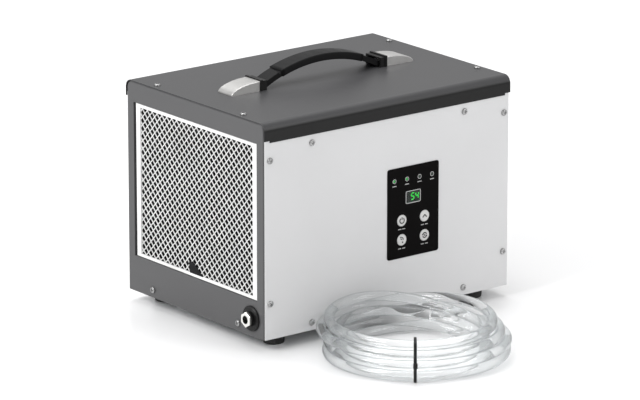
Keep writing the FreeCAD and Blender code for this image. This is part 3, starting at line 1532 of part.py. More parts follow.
def pump_impeller():
    """Two-bladed impeller on the shaft that comes down from its rotor."""
    centre = ("pump_x + pump_spread", "-pump_y")
    low = f"({tank_z} + pump_wall + impeller_gap)"
    drum_z = f"({pump_top} + pump_can_wall + impeller_gap)"
    shaft = rod("impeller_shaft", (*centre, low), "pump_shaft / 2", f"{drum_z} + pump_drum_height - {low}")
    drum = rod("impeller_drum", (*centre, drum_z), "pump_drum_width / 2", "pump_drum_height")
    disc = rod("impeller_disc", (*centre, low), "impeller_width / 2", "impeller_blade")
    blades = [box(f"impeller_blade_{turn}", (f"{centre[0]} - {wide} / 2", f"{centre[1]} - {deep} / 2",
                                             f"{low} + sink"),
                  (wide, deep, "impeller_height"))
              for turn, (wide, deep) in enumerate((("impeller_width", "impeller_blade"),
                                                   ("impeller_blade", "impeller_width")))]
    return finished(fuse("pump_impeller", shaft, drum, disc, *blades), "pump_impeller")


def pump_float():
    centre = ("pump_x - pump_spread", "-pump_y")
    low = f"{tank_z} + pump_wall + float_gap"
    body = rod("float_body", (*centre, low), "float_width / 2", "float_height")
    soft = rounded("float_soft", body, size("pump_wall"), lambda edge: not runs_along(edge, Vector(0, 0, 1)))
    hole = rod("float_hole", (*centre, f"{low} - over_cut"), "(post_width + post_gap) / 2",
               "float_height + 2 * over_cut")
    return finished(cut("pump_float", soft, hole), "pump_float")


def drain_tube():
    """Hose inside the casing from the pump tank to the outlet fitting."""
    back, height = -size("drain_y"), size("foot_height") + size("drain_height")
    start = -size("case_length") / 2 + size("drain_inside")
    tank = size("pump_x") - size("pump_length") / 2
    port = (back + size("tube_port_y"), height + size("tube_port_z"))
    points = [(start, back, height), (tank - size("tube_run"), back, height), (tank - size("tube_step"),
                                                                               *port),
              (tank, *port)]
    return finished(tube("drain_tube", points, size("hose_width") / 2, size("tube_bend")))


# ---- electrics ----

def power_board():
    """Supply board with its transformer, relay, terminals and capacitor."""
    low = ("-bulkhead_x + supply_x", f"-{face_y} + wall + supply_gap", "foot_height + supply_lift")
    face = f"{low[1]} + board_thick - sink / 5"
    pieces = [box("supply_plate", low, ("supply_width", "board_thick", "supply_height"))]
    # each part on the board: place across and up, then its size
    blocks = {
        "transformer": (6, 8, (36, 24, 30)),
        "relay": (8, 46, (16, 16, 20)),
        "terminals": (5, 84, (40, 12, 10)),
    }
    for name, (across, up, extent) in blocks.items():
        pieces.append(box("supply_" + name, (f"{low[0]} + {across}", face, f"{low[2]} + {up}"), extent))
    across, up, radius, length = 36, 58, 8, 22
    pieces.append(rod("supply_capacitor", (f"{low[0]} + {across}", face, f"{low[2]} + {up}"), radius,
                      length, along_y))
    for side in ("supply_post_inset", "(supply_width - supply_post_inset)"):
        for level in ("supply_post_inset", "(supply_height - supply_post_inset)"):
            at = (f"{low[0]} + {side}", f"-{face_y} + wall + seat_gap", f"{low[2]} + {level}")
            pieces.append(rod("supply_post", at, "standoff_width / 2", "supply_gap + sink / 2", along_y))
    return finished(fuse("power_board", *pieces), "power_board")


def run_capacitor():
    """Motor capacitor: an aluminium can with two tags."""
    can = rod("capacitor_can", ("capacitor_x", "capacitor_y", tank_z), "capacitor_width / 2",
              "capacitor_height")
    soft = rounded("capacitor_soft", can, size("capacitor_edge"),
                   lambda edge: not runs_along(edge, Vector(0, 0, 1)))
    tags = [box("capacitor_tag", (f"capacitor_x + {side} * capacitor_tag", "capacitor_y - capacitor_tag / 2",
                                  f"{tank_z} + capacitor_height - sink"),
                ("board_thick / 2", "capacitor_tag", "capacitor_tag + capacitor_edge"))
            for side in (-1, 1)]
    return finished(fuse("run_capacitor", soft, *tags), "run_capacitor")


def humidity_sensor():
    """Small vented case on the intake end's flange."""
    low = (f"-{end_x} + sensor_x", f"-{shell_y} + wall + seat_gap", "foot_height + sensor_lift")
    case = box("sensor_case", low, ("sensor_width", "sensor_depth", "sensor_height"))
    slots = [box("sensor_slot", (f"{low[0]} - over_cut", f"{low[1]} + sensor_slot",
                                 f"{low[2]} + {2 * number + 2} * sensor_slot"),
                 ("sensor_width / 2 + over_cut", "sensor_depth - 2 * sensor_slot", "sensor_slot"))
             for number in range(int(size("sensor_slots")))]
    return finished(cut("humidity_sensor", case, *slots), "humidity_sensor")


def cable_gland():
    """Gland for the mains lead at the exhaust end."""
    at_y = "-gland_y"
    dome = cone("gland_dome", (end_x, at_y, drain_z), "gland_base / 2", "gland_tip / 2", "drain_reach",
                along_x)
    barrel = rod("gland_barrel", (f"{end_x} - gland_inside", at_y, drain_z), "gland_bore / 2 + gland_wall",
                 "gland_inside + sink", along_x)
    nut = rod("gland_nut", (f"{pan_x} - wall - lap_gap - gland_nut_thick", at_y, drain_z), "gland_nut / 2",
              "gland_nut_thick", along_x)
    bore = rod("gland_hole", (f"{end_x} - gland_inside - over_cut", at_y, drain_z), "gland_bore / 2",
               "gland_inside + drain_reach + 2 * over_cut", along_x)
    return finished(cut("cable_gland", fuse("gland_solid", dome, barrel, nut), bore), "cable_gland")


# ---- drain hose ----

def hose_coil():
    """Outer shape of the coiled drain hose, lying on the floor."""
    centre = ("-hose_x", f"-{hose_y}")
    outer = rod("hose_outer", (*centre, "tie_thick + 2 * seat_gap"), "hose_coil / 2", "hose_stack")
    inner = rod("hose_inner", (*centre, "0"), "hose_coil / 2 - hose_bundle", "2 * hose_stack")
    soft = rounded("hose_coil", cut("hose_ring", outer, inner), size("bundle_edge"),
                   lambda edge: len(edge.Vertexes) == 1)
    return finished(soft, "hose_coil")


def edges_across(solid):
    return [edge for edge in solid.Edges if runs_along(edge, Vector(0, 1, 0))]


def hose_tie():
    """Cable tie closed round the bundle on the side away from the casing."""
    middle_radius = size("hose_coil") / 2 - size("hose_bundle") / 2
    gap, thick, broad = size("seat_gap"), size("tie_thick"), size("tie_width")
    soft, cutter = size("bundle_edge"), size("over_cut")
    wide, tall = size("hose_bundle") + 2 * gap, size("hose_stack") + 2 * gap
    outer = Part.makeBox(wide + 2 * thick, broad, tall + 2 * thick,
                         Vector(middle_radius - wide / 2 - thick, -broad / 2, 0))
    outer = outer.makeFillet(soft + thick, edges_across(outer))
    inner = Part.makeBox(wide, broad + 2 * cutter, tall,
                         Vector(middle_radius - wide / 2, -broad / 2 - cutter, thick))
    inner = inner.makeFillet(soft - gap, edges_across(inner))
    lock = Part.makeBox(size("lock_reach"), broad + 2 * cutter, size("lock_height"),
                        Vector(middle_radius + wide / 2 + thick - size("sink"), -broad / 2 - cutter,
                               size("lock_low")))
    item = doc.addObject("Part::Feature", "hose_tie")
    item.Shape = outer.cut(inner).fuse(lock)
    turn = Rotation(Vector(0, 0, 1), size("tie_turn"))
    back = size("case_depth") / 2 + size("hose_gap") + size("hose_coil") / 2
    item.Placement = Placement(Vector(-size("hose_x"), -back, gap), turn)
    return finished(item)


def build():
    for make in (top_cover, intake_end_panel, exhaust_end_panel, front_panel, rear_panel, base_pan,
                 fan_bulkhead, exhaust_guard, filter_frame, filter_mesh, filter_pad, filter_pull_tab,
                 drain_flange, drain_fitting):
        make()
    for side in (-1, 1):
        handle_cap(side)
        handle_tab(side)
    handle_collars()
    handle_strap()
    for make in (handle_screws, cover_screws, panel_screws, end_screws, rubber_feet, foot_screws,
                 control_overlay):
        make()
    for name in button_places:
        button(name)
    for make in (display_window, display_module, indicator_leds, control_board):
        make()
    heat_exchanger("evaporator_coil", "-evaporator_x", "evaporator_depth")
    heat_exchanger("condenser_coil", "-condenser_x", "condenser_depth")
    for make in (drip_tray, compressor_shell, compressor_stator, compressor_rotor, compressor_mounts,
                 suction_line, discharge_line, filter_drier, capillary_tube, fan_motor, fan_shaft,
                 fan_wheel, pump_tank, pump_motor, pump_impeller, pump_float, drain_tube, power_board,
                 run_capacitor, humidity_sensor, cable_gland, hose_coil, hose_tie):
        make()


def check():
    """Stops if any object failed, or any sub-part's shape isn't sound."""
    failed = [item.Name for item in doc.Objects if "Invalid" in item.State or "Error" in item.State]
    if failed:
        raise RuntimeError(f"objects that failed: {failed}")
    for item in parts:
        if item.Shape.isNull() or not item.Shape.isValid() or not item.Shape.Solids:
            raise RuntimeError(f"{item.Label} has no sound shape")


def write():
    for item in parts:
        item.Shape.exportStep(f"parts/{item.Label}.step")
        print(item.Label, len(item.Shape.Solids), round(item.Shape.Volume / 1000, 2))


build()
doc.recompute()
check()
write()
print(len(parts), "sub-parts")
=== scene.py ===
import math
import bpy
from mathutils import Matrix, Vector


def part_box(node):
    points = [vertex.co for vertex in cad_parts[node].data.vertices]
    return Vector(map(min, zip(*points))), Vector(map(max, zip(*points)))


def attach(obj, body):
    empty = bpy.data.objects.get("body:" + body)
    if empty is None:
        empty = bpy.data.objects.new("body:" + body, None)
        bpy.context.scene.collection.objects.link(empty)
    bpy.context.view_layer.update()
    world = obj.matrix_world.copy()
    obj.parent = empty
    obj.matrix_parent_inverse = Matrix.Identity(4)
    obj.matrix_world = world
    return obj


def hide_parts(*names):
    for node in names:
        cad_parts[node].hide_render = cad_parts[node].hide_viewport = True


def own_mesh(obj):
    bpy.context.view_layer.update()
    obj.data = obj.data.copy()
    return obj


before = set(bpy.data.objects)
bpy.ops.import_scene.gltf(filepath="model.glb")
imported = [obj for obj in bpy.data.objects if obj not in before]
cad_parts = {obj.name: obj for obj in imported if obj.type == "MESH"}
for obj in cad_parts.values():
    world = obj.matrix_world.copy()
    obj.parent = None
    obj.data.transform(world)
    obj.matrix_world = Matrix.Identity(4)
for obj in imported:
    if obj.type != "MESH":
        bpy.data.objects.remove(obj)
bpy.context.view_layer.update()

print("frame loaded:", len(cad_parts), "nodes")


# camera and floor

camera = {
    "place": (-3.7753, -4.8427, 1.8800),
    "towards": (0.59149, 0.75818, -0.27442),
    "lens": 287.06,
}


def addCamera():
    turn = Vector(camera["towards"]).to_track_quat("-Z", "Y").to_euler()
    bpy.ops.object.camera_add(location=camera["place"], rotation=turn)
    eye = bpy.context.object
    eye.data.lens = camera["lens"]
    eye.data.sensor_width = 36
    eye.data.clip_end = 100
    bpy.context.scene.camera = eye


studio = {
    "floorWidth": 30.0,
    "floorColour": (0.90, 0.90, 0.905, 1),
    "sky": (1.0, 1.0, 1.0, 1),
    "skyStrength": 0.70,
    "lights": {  # place, what it faces, size and watts
        "keySoftbox": ((-2.6, 0.2, 2.3), (0, 0, 0.15), 1.6, 72),
        "topSoftbox": ((0.4, 1.0, 3.2), (0, 0, 0.1), 2.2, 60),
        "frontSoftbox": ((1.6, -3.0, 1.8), (0, 0, 0.1), 1.8, 38),
    },
}


def addStudio():
    bpy.ops.object.select_all(action="DESELECT")
    bpy.ops.mesh.primitive_plane_add(size=studio["floorWidth"], location=(0, 0, 0))
    floor = bpy.context.object
    floor.name = "studioFloor"
    material = bpy.data.materials.new("studioFloorWhite")
    material.use_nodes = True
    shader = material.node_tree.nodes["Principled BSDF"]
    shader.inputs["Base Color"].default_value = studio["floorColour"]
    shader.inputs["Roughness"].default_value = 0.22
    floor.data.materials.append(material)
    world = bpy.data.worlds.new("studioSky")
    world.use_nodes = True
    back = world.node_tree.nodes["Background"]
    back.inputs["Color"].default_value = studio["sky"]
    back.inputs["Strength"].default_value = studio["skyStrength"]
    bpy.context.scene.world = world
    for name, (place, target, width, watts) in studio["lights"].items():
        turn = (Vector(target) - Vector(place)).to_track_quat("-Z", "Y").to_euler()
        bpy.ops.object.light_add(type="AREA", location=place, rotation=turn)
        lamp = bpy.context.object
        lamp.name = name
        lamp.data.size = width
        lamp.data.energy = watts
    bpy.context.scene.view_settings.view_transform = "Standard"


addCamera()
addStudio()
print("camera and studio done")


# finishes

def newFinish(name, colour, roughness, metallic=0.0, shine=0.5):
    material = bpy.data.materials.new(name)
    material.use_nodes = True
    shader = material.node_tree.nodes["Principled BSDF"]
    shader.inputs["Base Color"].default_value = (*colour, 1)
    shader.inputs["Roughness"].default_value = roughness
    shader.inputs["Metallic"].default_value = metallic
    shader.inputs["Specular IOR Level"].default_value = shine
    return material, material.node_tree.nodes, material.node_tree.links, shader


def addPattern(nodes, links, scale, detail=3.0, stretch=(1, 1, 1)):
    place = nodes.new("ShaderNodeTexCoord")
    mapping = nodes.new("ShaderNodeMapping")
    noise = nodes.new("ShaderNodeTexNoise")
    mapping.inputs["Scale"].default_value = stretch
    noise.inputs["Scale"].default_value = scale
    noise.inputs["Detail"].default_value = detail
    links.new(place.outputs["Object"], mapping.inputs["Vector"])
    links.new(mapping.outputs["Vector"], noise.inputs["Vector"])
    return noise.outputs["Fac"]


def addRelief(nodes, links, shader, pattern, depth, strength=0.5):
    bump = nodes.new("ShaderNodeBump")
    bump.inputs["Distance"].default_value = depth
    bump.inputs["Strength"].default_value = strength
    links.new(pattern, bump.inputs["Height"])
    links.new(bump.outputs["Normal"], shader.inputs["Normal"])


def addToneAndShade(nodes, links, shader, pattern, colour, change):
    ramp = nodes.new("ShaderNodeValToRGB")  # a little darker where the pattern is low, lighter where it is high; where the same pattern also drives the bumps this is painted shade in the hollows and painted highlight on the crests
    ramp.color_ramp.elements[0].position = 0.3
    ramp.color_ramp.elements[1].position = 0.7
    ramp.color_ramp.elements[0].color = (*[c * (1 - change) for c in colour], 1)
    ramp.color_ramp.elements[1].color = (*[min(1, c * (1 + change)) for c in colour], 1)
    links.new(pattern, ramp.inputs["Fac"])
    links.new(ramp.outputs["Color"], shader.inputs["Base Color"])
    return ramp


def addSheenChange(nodes, links, shader, pattern, low, high):
    spread = nodes.new("ShaderNodeMapRange")
    spread.inputs["To Min"].default_value = low
    spread.inputs["To Max"].default_value = high
    links.new(pattern, spread.inputs["Value"])
    links.new(spread.outputs["Result"], shader.inputs["Roughness"])


def powderCoat(name, colour, roughness=0.4, grain=0.00006, change=0.05):
    material, nodes, links, shader = newFinish(name, colour, roughness)
    fine = addPattern(nodes, links, 1400, 2)
    broad = addPattern(nodes, links, 9, 4)
    addRelief(nodes, links, shader, fine, grain)
    addToneAndShade(nodes, links, shader, broad, colour, change)
    addSheenChange(nodes, links, shader, broad, roughness - 0.04, roughness + 0.06)
    return material


def mouldedPlastic(name, colour, roughness=0.45, grain=0.00005, shine=0.5):
    change = 0.08
    material, nodes, links, shader = newFinish(name, colour, roughness, 0.0, shine)
    fine = addPattern(nodes, links, 2200, 3)
    broad = addPattern(nodes, links, 30, 3)
    addRelief(nodes, links, shader, fine, grain)
    addToneAndShade(nodes, links, shader, broad, colour, change)
    addSheenChange(nodes, links, shader, broad, roughness - 0.05, roughness + 0.08)
    return material


def bareMetal(name, colour, roughness=0.3, stretch=(1, 1, 1), scale=500, grain=0.00003):
    material, nodes, links, shader = newFinish(name, colour, roughness, 1.0)
    drawn = addPattern(nodes, links, scale, 4, stretch)
    broad = addPattern(nodes, links, 45, 3)
    addRelief(nodes, links, shader, drawn, grain, 0.4)
    addToneAndShade(nodes, links, shader, broad, colour, 0.08)
    addSheenChange(nodes, links, shader, drawn, roughness - 0.08, roughness + 0.1)
    return material


def coverPaint():
    # the colour below the bend is painted shade: the bent-down front edge has the same finish as the top,
    # drawn darker because it catches less light
    paintAndShade = {"top": (0.048, 0.048, 0.050), "lip": (0.003, 0.003, 0.003), "fadeFrom": 0.2780, "fadeTo": 0.2830}
    material, nodes, links, shader = newFinish("coverPaint", paintAndShade["top"], 0.36, 0.0, 0.25)
    fine = addPattern(nodes, links, 1400, 2)
    addRelief(nodes, links, shader, fine, 0.00006)
    place = nodes.new("ShaderNodeTexCoord")
    split = nodes.new("ShaderNodeSeparateXYZ")
    fade = nodes.new("ShaderNodeMapRange")  # painted shade: the colour turns darker below the bend
    fade.inputs["From Min"].default_value = paintAndShade["fadeFrom"]
    fade.inputs["From Max"].default_value = paintAndShade["fadeTo"]
    mix = nodes.new("ShaderNodeMix")
    mix.data_type = "RGBA"
    mix.inputs["A"].default_value = (*paintAndShade["lip"], 1)
    links.new(place.outputs["Object"], split.inputs["Vector"])
    links.new(split.outputs["Z"], fade.inputs["Value"])
    links.new(fade.outputs["Result"], mix.inputs["Factor"])
    ramp = addToneAndShade(nodes, links, shader, addPattern(nodes, links, 7, 4), paintAndShade["top"], 0.06)
    links.new(ramp.outputs["Color"], mix.inputs["B"])
    links.new(mix.outputs["Result"], shader.inputs["Base Color"])
    return material


def weave(name, colour, pitch=2600):
    material, nodes, links, shader = newFinish(name, colour, 0.85, 0.0, 0.2)
    place = nodes.new("ShaderNodeTexCoord")
    warp = nodes.new("ShaderNodeTexWave")
    weft = nodes.new("ShaderNodeTexWave")
    warp.bands_direction, weft.bands_direction = "Y", "Z"
    both = nodes.new("ShaderNodeMath")
    both.operation = "MULTIPLY"
    for wave, socket in ((warp, 0), (weft, 1)):
        wave.inputs["Scale"].default_value = pitch / 6
        links.new(place.outputs["Object"], wave.inputs["Vector"])
        links.new(wave.outputs["Fac"], both.inputs[socket])
    addRelief(nodes, links, shader, both.outputs["Value"], 0.0002, 0.8)
    # painted shade and painted highlight: the weave is drawn darker in its hollows and lighter on its crests,
    # following its bumps
    addToneAndShade(nodes, links, shader, both.outputs["Value"], colour, 0.35)
    return material


def openFoam():
    foamBlack = (0.005, 0.005, 0.005)
    material, nodes, links, shader = newFinish("filterFoam", foamBlack, 0.95, 0.0, 0.1)
    cells = nodes.new("ShaderNodeTexVoronoi")
    place = nodes.new("ShaderNodeTexCoord")
    cells.inputs["Scale"].default_value = 700
    links.new(place.outputs["Object"], cells.inputs["Vector"])
    addRelief(nodes, links, shader, cells.outputs["Distance"], 0.0006, 1.0)
    # painted shade: the foam is drawn darker in its pore hollows, following its bumps
    addToneAndShade(nodes, links, shader, cells.outputs["Distance"], foamBlack, 0.5)
    return material


def clearVinyl():
    vinyl = {"face": (0.985, 0.994, 0.996), "rim": (0.40, 0.435, 0.45), "rimStart": 0.42, "rimEnd": 0.94,
             "clearness": 0.98, "ior": 1.06}
    material, nodes, links, shader = newFinish("clearVinyl", vinyl["face"], 0.04)
    shader.inputs["Transmission Weight"].default_value = vinyl["clearness"]
    shader.inputs["IOR"].default_value = vinyl["ior"]
    shader.inputs["Coat Weight"].default_value = 0.8
    turned = nodes.new("ShaderNodeLayerWeight")  # painted shade: the tint turns darker where the wall is seen edge on, standing in for the dark edges that refraction draws on a clear tube
    ramp = nodes.new("ShaderNodeValToRGB")
    for stop, position, colour in zip(ramp.color_ramp.elements, ("rimStart", "rimEnd"), ("face", "rim")):
        stop.position = vinyl[position]
        stop.color = (*vinyl[colour], 1)
    links.new(turned.outputs["Facing"], ramp.inputs["Fac"])
    links.new(ramp.outputs["Color"], shader.inputs["Base Color"])
    addSheenChange(nodes, links, shader, addPattern(nodes, links, 60, 3), 0.02, 0.08)
    return material


def glow(name, colour, strength):
    material, nodes, links, shader = newFinish(name, colour, 0.3)
    shader.inputs["Emission Color"].default_value = (*colour, 1)
    shader.inputs["Emission Strength"].default_value = strength
    addToneAndShade(nodes, links, shader, addPattern(nodes, links, 900, 2), colour, 0.08)
    return material


def smokedLens():
    material, nodes, links, shader = newFinish("smokedLens", (0.02, 0.03, 0.025), 0.08)
    shader.inputs["Alpha"].default_value = 0.30
    addRelief(nodes, links, shader, addPattern(nodes, links, 400, 2), 0.00001, 0.2)
    return material


finishes = {
    "cover": coverPaint(),
    "end": powderCoat("endPaint", (0.068, 0.068, 0.070), 0.38),
    "white": powderCoat("panelWhite", (0.615, 0.615, 0.62), 0.42, 0.00004, 0.02),
    "galvanised": bareMetal("galvanisedSheet", (0.55, 0.56, 0.57), 0.42, scale=90),
    "net": mouldedPlastic("netWhite", (0.78, 0.78, 0.775), 0.4),
    "foam": openFoam(),
    "ribbon": weave("ribbonBlack", (0.014, 0.014, 0.015)),
    "black": mouldedPlastic("blackPlastic", (0.005, 0.005, 0.005), 0.42, shine=0.25),
    "nickel": bareMetal("nickelPlate", (0.82, 0.81, 0.78), 0.16),
    "cap": bareMetal("capSilver", (0.54, 0.535, 0.525), 0.42, grain=0.00002),
    "strap": mouldedPlastic("strapRubber", (0.006, 0.006, 0.0065), 0.5, 0.0001, 0.15),
    "spring": bareMetal("springSteel", (0.42, 0.42, 0.43), 0.35, (1, 12, 1)),
    "screw": bareMetal("screwZinc", (0.36, 0.36, 0.36), 0.28),
    "foot": mouldedPlastic("footRubber", (0.018, 0.018, 0.018), 0.7, 0.00012),
    "faceplate": mouldedPlastic("faceplateFilm", (0.0032, 0.0028, 0.0028), 0.5, 0.00002, 0.03),
    "key": mouldedPlastic("keySilver", (0.56, 0.56, 0.55), 0.36, 0.00002),
    "display": mouldedPlastic("displayBlack", (0.003, 0.003, 0.0035), 0.5, 0.00001, 0.1),
    "lens": smokedLens(),
    "board": mouldedPlastic("boardGreen", (0.02, 0.16, 0.06), 0.4),
    "fins": bareMetal("finAluminium", (0.72, 0.73, 0.75), 0.35, (1, 40, 1)),
    "tray": mouldedPlastic("trayGrey", (0.25, 0.25, 0.26)),
    "shell": powderCoat("shellEnamel", (0.012, 0.012, 0.013), 0.28),
    "core": bareMetal("laminations", (0.22, 0.22, 0.23), 0.5, (1, 1, 30)),
    "copper": bareMetal("drawnCopper", (0.78, 0.38, 0.25), 0.25),
    "motor": powderCoat("motorGrey", (0.22, 0.22, 0.23), 0.4),
    "fan": mouldedPlastic("fanBlack", (0.02, 0.02, 0.022)),
    "guard": powderCoat("guardBlack", (0.014, 0.014, 0.015), 0.35),
    "tank": mouldedPlastic("tankWhite", (0.62, 0.62, 0.60), 0.5),
    "can": bareMetal("canAluminium", (0.66, 0.66, 0.67), 0.3, (1, 1, 20)),
    "vinyl": clearVinyl(),
}
wearers = {
    "cover": ["top_cover"],
    "end": ["intake_end_panel", "exhaust_end_panel"],
    "white": ["front_panel", "rear_panel"],
    "galvanised": ["base_pan", "fan_bulkhead"],
    "net": ["filter_frame", "filter_mesh"],
    "foam": ["filter_pad"],
    "ribbon": ["filter_pull_tab"],
    "black": ["drain_flange", "handle_collars", "cable_gland", "hose_tie"],
    "nickel": ["drain_fitting"],
    "cap": ["handle_cap_left", "handle_cap_right"],
    "strap": ["handle_strap"],
    "spring": ["handle_tab_left", "handle_tab_right", "fan_shaft"],
    "screw": ["handle_screws", "foot_screws", "cover_screws", "panel_screws", "end_screws"],
    "foot": ["rubber_feet", "compressor_mounts"],
    "faceplate": ["control_overlay"],
    "key": ["button_power", "button_up", "button_drain", "button_mode"],
    "display": ["display_module"],
    "lens": ["display_window"],
    "board": ["control_board", "power_board"],
    "fins": ["evaporator_coil", "condenser_coil"],
    "tray": ["drip_tray"],
    "shell": ["compressor_shell"],
    "core": ["compressor_stator", "compressor_rotor"],
    "copper": ["suction_line", "discharge_line", "filter_drier", "capillary_tube"],
    "motor": ["fan_motor", "pump_motor"],
    "fan": ["fan_wheel"],
    "guard": ["exhaust_guard"],
    "tank": ["pump_tank", "pump_impeller", "pump_float", "humidity_sensor"],
    "can": ["run_capacitor"],
    "vinyl": ["drain_tube", "hose_coil"],
}


def wear(piece, material):
    if not piece.material_slots:
        piece.data.materials.append(material)
    for place in piece.material_slots:
        place.material = material


for finish, names in wearers.items():
    for name in names:
        wear(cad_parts[name], finishes[finish])
litGreen = glow("litGreen", (0.03, 0.34, 0.06), 0.22)
digitGreen = glow("digitGreen", (0.02, 0.85, 0.06), 1.5)
unlitGreen = mouldedPlastic("unlitGreen", (0.03, 0.05, 0.035), 0.2, 0.00001)
legendWhite = mouldedPlastic("legendWhite", (0.55, 0.55, 0.55), 0.5, 0.00001)
iconDark = mouldedPlastic("iconDark", (0.012, 0.012, 0.012), 0.45, 0.00001)
print("finishes done")


# drain hose

hose = {
    "width": 0.0127,
    "length": 4.2,
    "pointsPerTurn": 16,
    "tieTurn": math.radians(232),
    "startTurn": math.radians(90),
    "crossing": 0.74,  # share of a turn after which the hose moves over to the next place
    "lastTurn": 0.89,
    "right": (0.788, -0.615),
    "back": (0.615, 0.788),
    # radius and height under the tie, the same on the loose side, then the shift right and back there
    "turns": [
        (0.1055, 0.0077, 0.1115, 0.0077, 0.007, 0.000),
        (0.0915, 0.0077, 0.0870, 0.0077, 0.000, 0.000),
        (0.0915, 0.0204, 0.0870, 0.0207, -0.003, 0.000),
        (0.0915, 0.0332, 0.0870, 0.0337, -0.005, 0.000),
        (0.0985, 0.0438, 0.1000, 0.0485, -0.008, 0.004),
        (0.1055, 0.0332, 0.1115, 0.0337, -0.008, 0.000),
        (0.1055, 0.0204, 0.1115, 0.0207, 0.009, 0.000),
    ],
}


def hoseMiddle():
    low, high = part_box("hose_coil")
    return (low + high) / 2


def hosePoint(turn, share):
    middle = hoseMiddle()
    angle = hose["startTurn"] + 2 * math.pi * (turn + share)
    after = hose["turns"][min(turn + 1, len(hose["turns"]) - 1)]
    over = min(1, max(0, (share - hose["crossing"]) / (1 - hose["crossing"])))
    over = over * over * (3 - 2 * over)
    places = [a + over * (b - a) for a, b in zip(hose["turns"][turn], after)]
    tiedRadius, tiedHeight, looseRadius, looseHeight, right, back = places
    loose = (1 - math.cos(angle - hose["tieTurn"])) / 2
    radius = tiedRadius + loose * (looseRadius - tiedRadius)
    step = 2 * math.pi / hose["pointsPerTurn"]
    reach = radius / (0.75 + 0.25 * math.cos(step))  # the spline cuts its corners
    x = middle.x + reach * math.cos(angle) + loose * (right * hose["right"][0] + back * hose["back"][0])
    y = middle.y + reach * math.sin(angle) + loose * (right * hose["right"][1] + back * hose["back"][1])
    return (x, y, tiedHeight + loose * (looseHeight - tiedHeight))


def addHose():
    places = []
    for turn in range(len(hose["turns"])):
        for number in range(hose["pointsPerTurn"]):
            share = number / hose["pointsPerTurn"]
            if turn < len(hose["turns"]) - 1 or share <= hose["lastTurn"]:
                places.append(hosePoint(turn, share))
    curve = bpy.data.curves.new("drainHose", "CURVE")
    curve.dimensions = "3D"
    line = curve.splines.new("NURBS")
    line.points.add(len(places) - 1)
    for point, place in zip(line.points, places):
        point.co = (*place, 1)
    line.order_u = 3
    line.use_endpoint_u = True
    line.resolution_u = 6
    curve.bevel_depth = hose["width"] / 2
    curve.bevel_resolution = 6
    curve.use_fill_caps = True
    piece = bpy.data.objects.new("drainHose", curve)
    bpy.context.collection.objects.link(piece)
    wear(piece, finishes["vinyl"])
    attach(piece, "hose")
    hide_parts("hose_coil")


addHose()
print("hose done")


# helpers for new pieces

def startClean():
    if bpy.context.object and bpy.context.object.mode != "OBJECT":
        bpy.ops.object.mode_set(mode="OBJECT")
    bpy.ops.object.select_all(action="DESELECT")


def settle(piece, name, material):
    startClean()
    piece.select_set(True)
    bpy.context.view_layer.objects.active = piece
    bpy.ops.object.transform_apply(location=True, rotation=True, scale=True)
    piece.name = name
    piece.data.name = name
    piece.data.materials.clear()
    piece.data.materials.append(material)
    return piece


def joined(pieces, name, material):
    startClean()
    for piece in pieces:
        piece.select_set(True)
    bpy.context.view_layer.objects.active = pieces[0]
    if len(pieces) > 1:
        bpy.ops.object.join()
    return settle(bpy.context.object, name, material)


def tidyNormals(piece):
    startClean()
    piece.select_set(True)
    bpy.context.view_layer.objects.active = piece
    bpy.ops.object.mode_set(mode="EDIT")
    bpy.ops.mesh.select_all(action="SELECT")
    bpy.ops.mesh.remove_doubles(threshold=0.000002)
    bpy.ops.mesh.normals_make_consistent(inside=False)
    bpy.ops.object.mode_set(mode="OBJECT")


def addBar(x, y, z, wide, high, deep, tilt=0.0, soft=0.3):
    startClean()
    bpy.ops.mesh.primitive_cube_add(size=1, location=(x, y, z), rotation=(0, tilt, 0))
    bar = bpy.context.object
    bar.scale = (wide, deep, high)
    bpy.ops.object.transform_apply(location=False, rotation=False, scale=True)
    edge = bar.modifiers.new("edge", "BEVEL")
    edge.width = soft * min(wide, high, deep)
    edge.segments = 2
    bpy.ops.object.modifier_apply(modifier="edge")
    return bar


def addArc(x, y, z, radius, band, deep, start, sweep):
    startClean()
    ray = Vector((math.cos(start), 0, math.sin(start)))
    bpy.ops.mesh.primitive_plane_add(size=1, location=Vector((x, y, z)) + ray * radius)
    arc = bpy.context.object
    arc.scale = (band, deep, 1)
    arc.rotation_euler = (0, -start, 0)
    bpy.ops.object.transform_apply(location=True, rotation=True, scale=True)
    bpy.ops.object.mode_set(mode="EDIT")
    bpy.ops.mesh.select_all(action="SELECT")
    bpy.ops.mesh.spin(steps=28, angle=sweep, center=(x, y, z), axis=(0, 1, 0))
    bpy.ops.object.mode_set(mode="OBJECT")
    tidyNormals(arc)
    return arc


# display and lamps

panel = {
    "face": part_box("control_overlay")[0].y,
    "windowLow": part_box("display_window")[0],
    "windowHigh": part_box("display_window")[1],
    "frameBand": 0.0007,
    "frameDeep": 0.0002,
    "frameCorner": 0.0015,
}
digits = {
    "lit": {"5": "afgcd", "4": "fgbc"},
    "text": "54",
    "wide": 0.0044,
    "high": 0.0080,
    "stroke": 0.0014,
    "deep": 0.00012,
    "pitch": 0.0068,
    "shift": 0.0034,
    "lean": math.radians(7),
}


def addWindowFrame():
    low, high = panel["windowLow"], panel["windowHigh"]
    middle, band, front = (low + high) / 2, panel["frameBand"], panel["face"] - panel["frameDeep"] / 2
    aside, above = (high.x - low.x + band) / 2, (high.z - low.z + band) / 2
    corner = panel["frameCorner"]
    pieces = []
    deep = panel["frameDeep"]
    for side in (-1, 1):
        pieces.append(addBar(middle.x, front, middle.z + side * above, 2 * (aside - corner), band, deep))
        pieces.append(addBar(middle.x + side * aside, front, middle.z, band, 2 * (above - corner), deep))
        for up in (-1, 1):
            start = math.atan2(up, side) - math.pi / 4
            pieces.append(addArc(middle.x + side * (aside - corner), front, middle.z + up * (above - corner),
                                 corner, band, deep, start, math.pi / 2))
    frameBars = joined(pieces, "windowFrame", legendWhite)
    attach(frameBars, "casing")


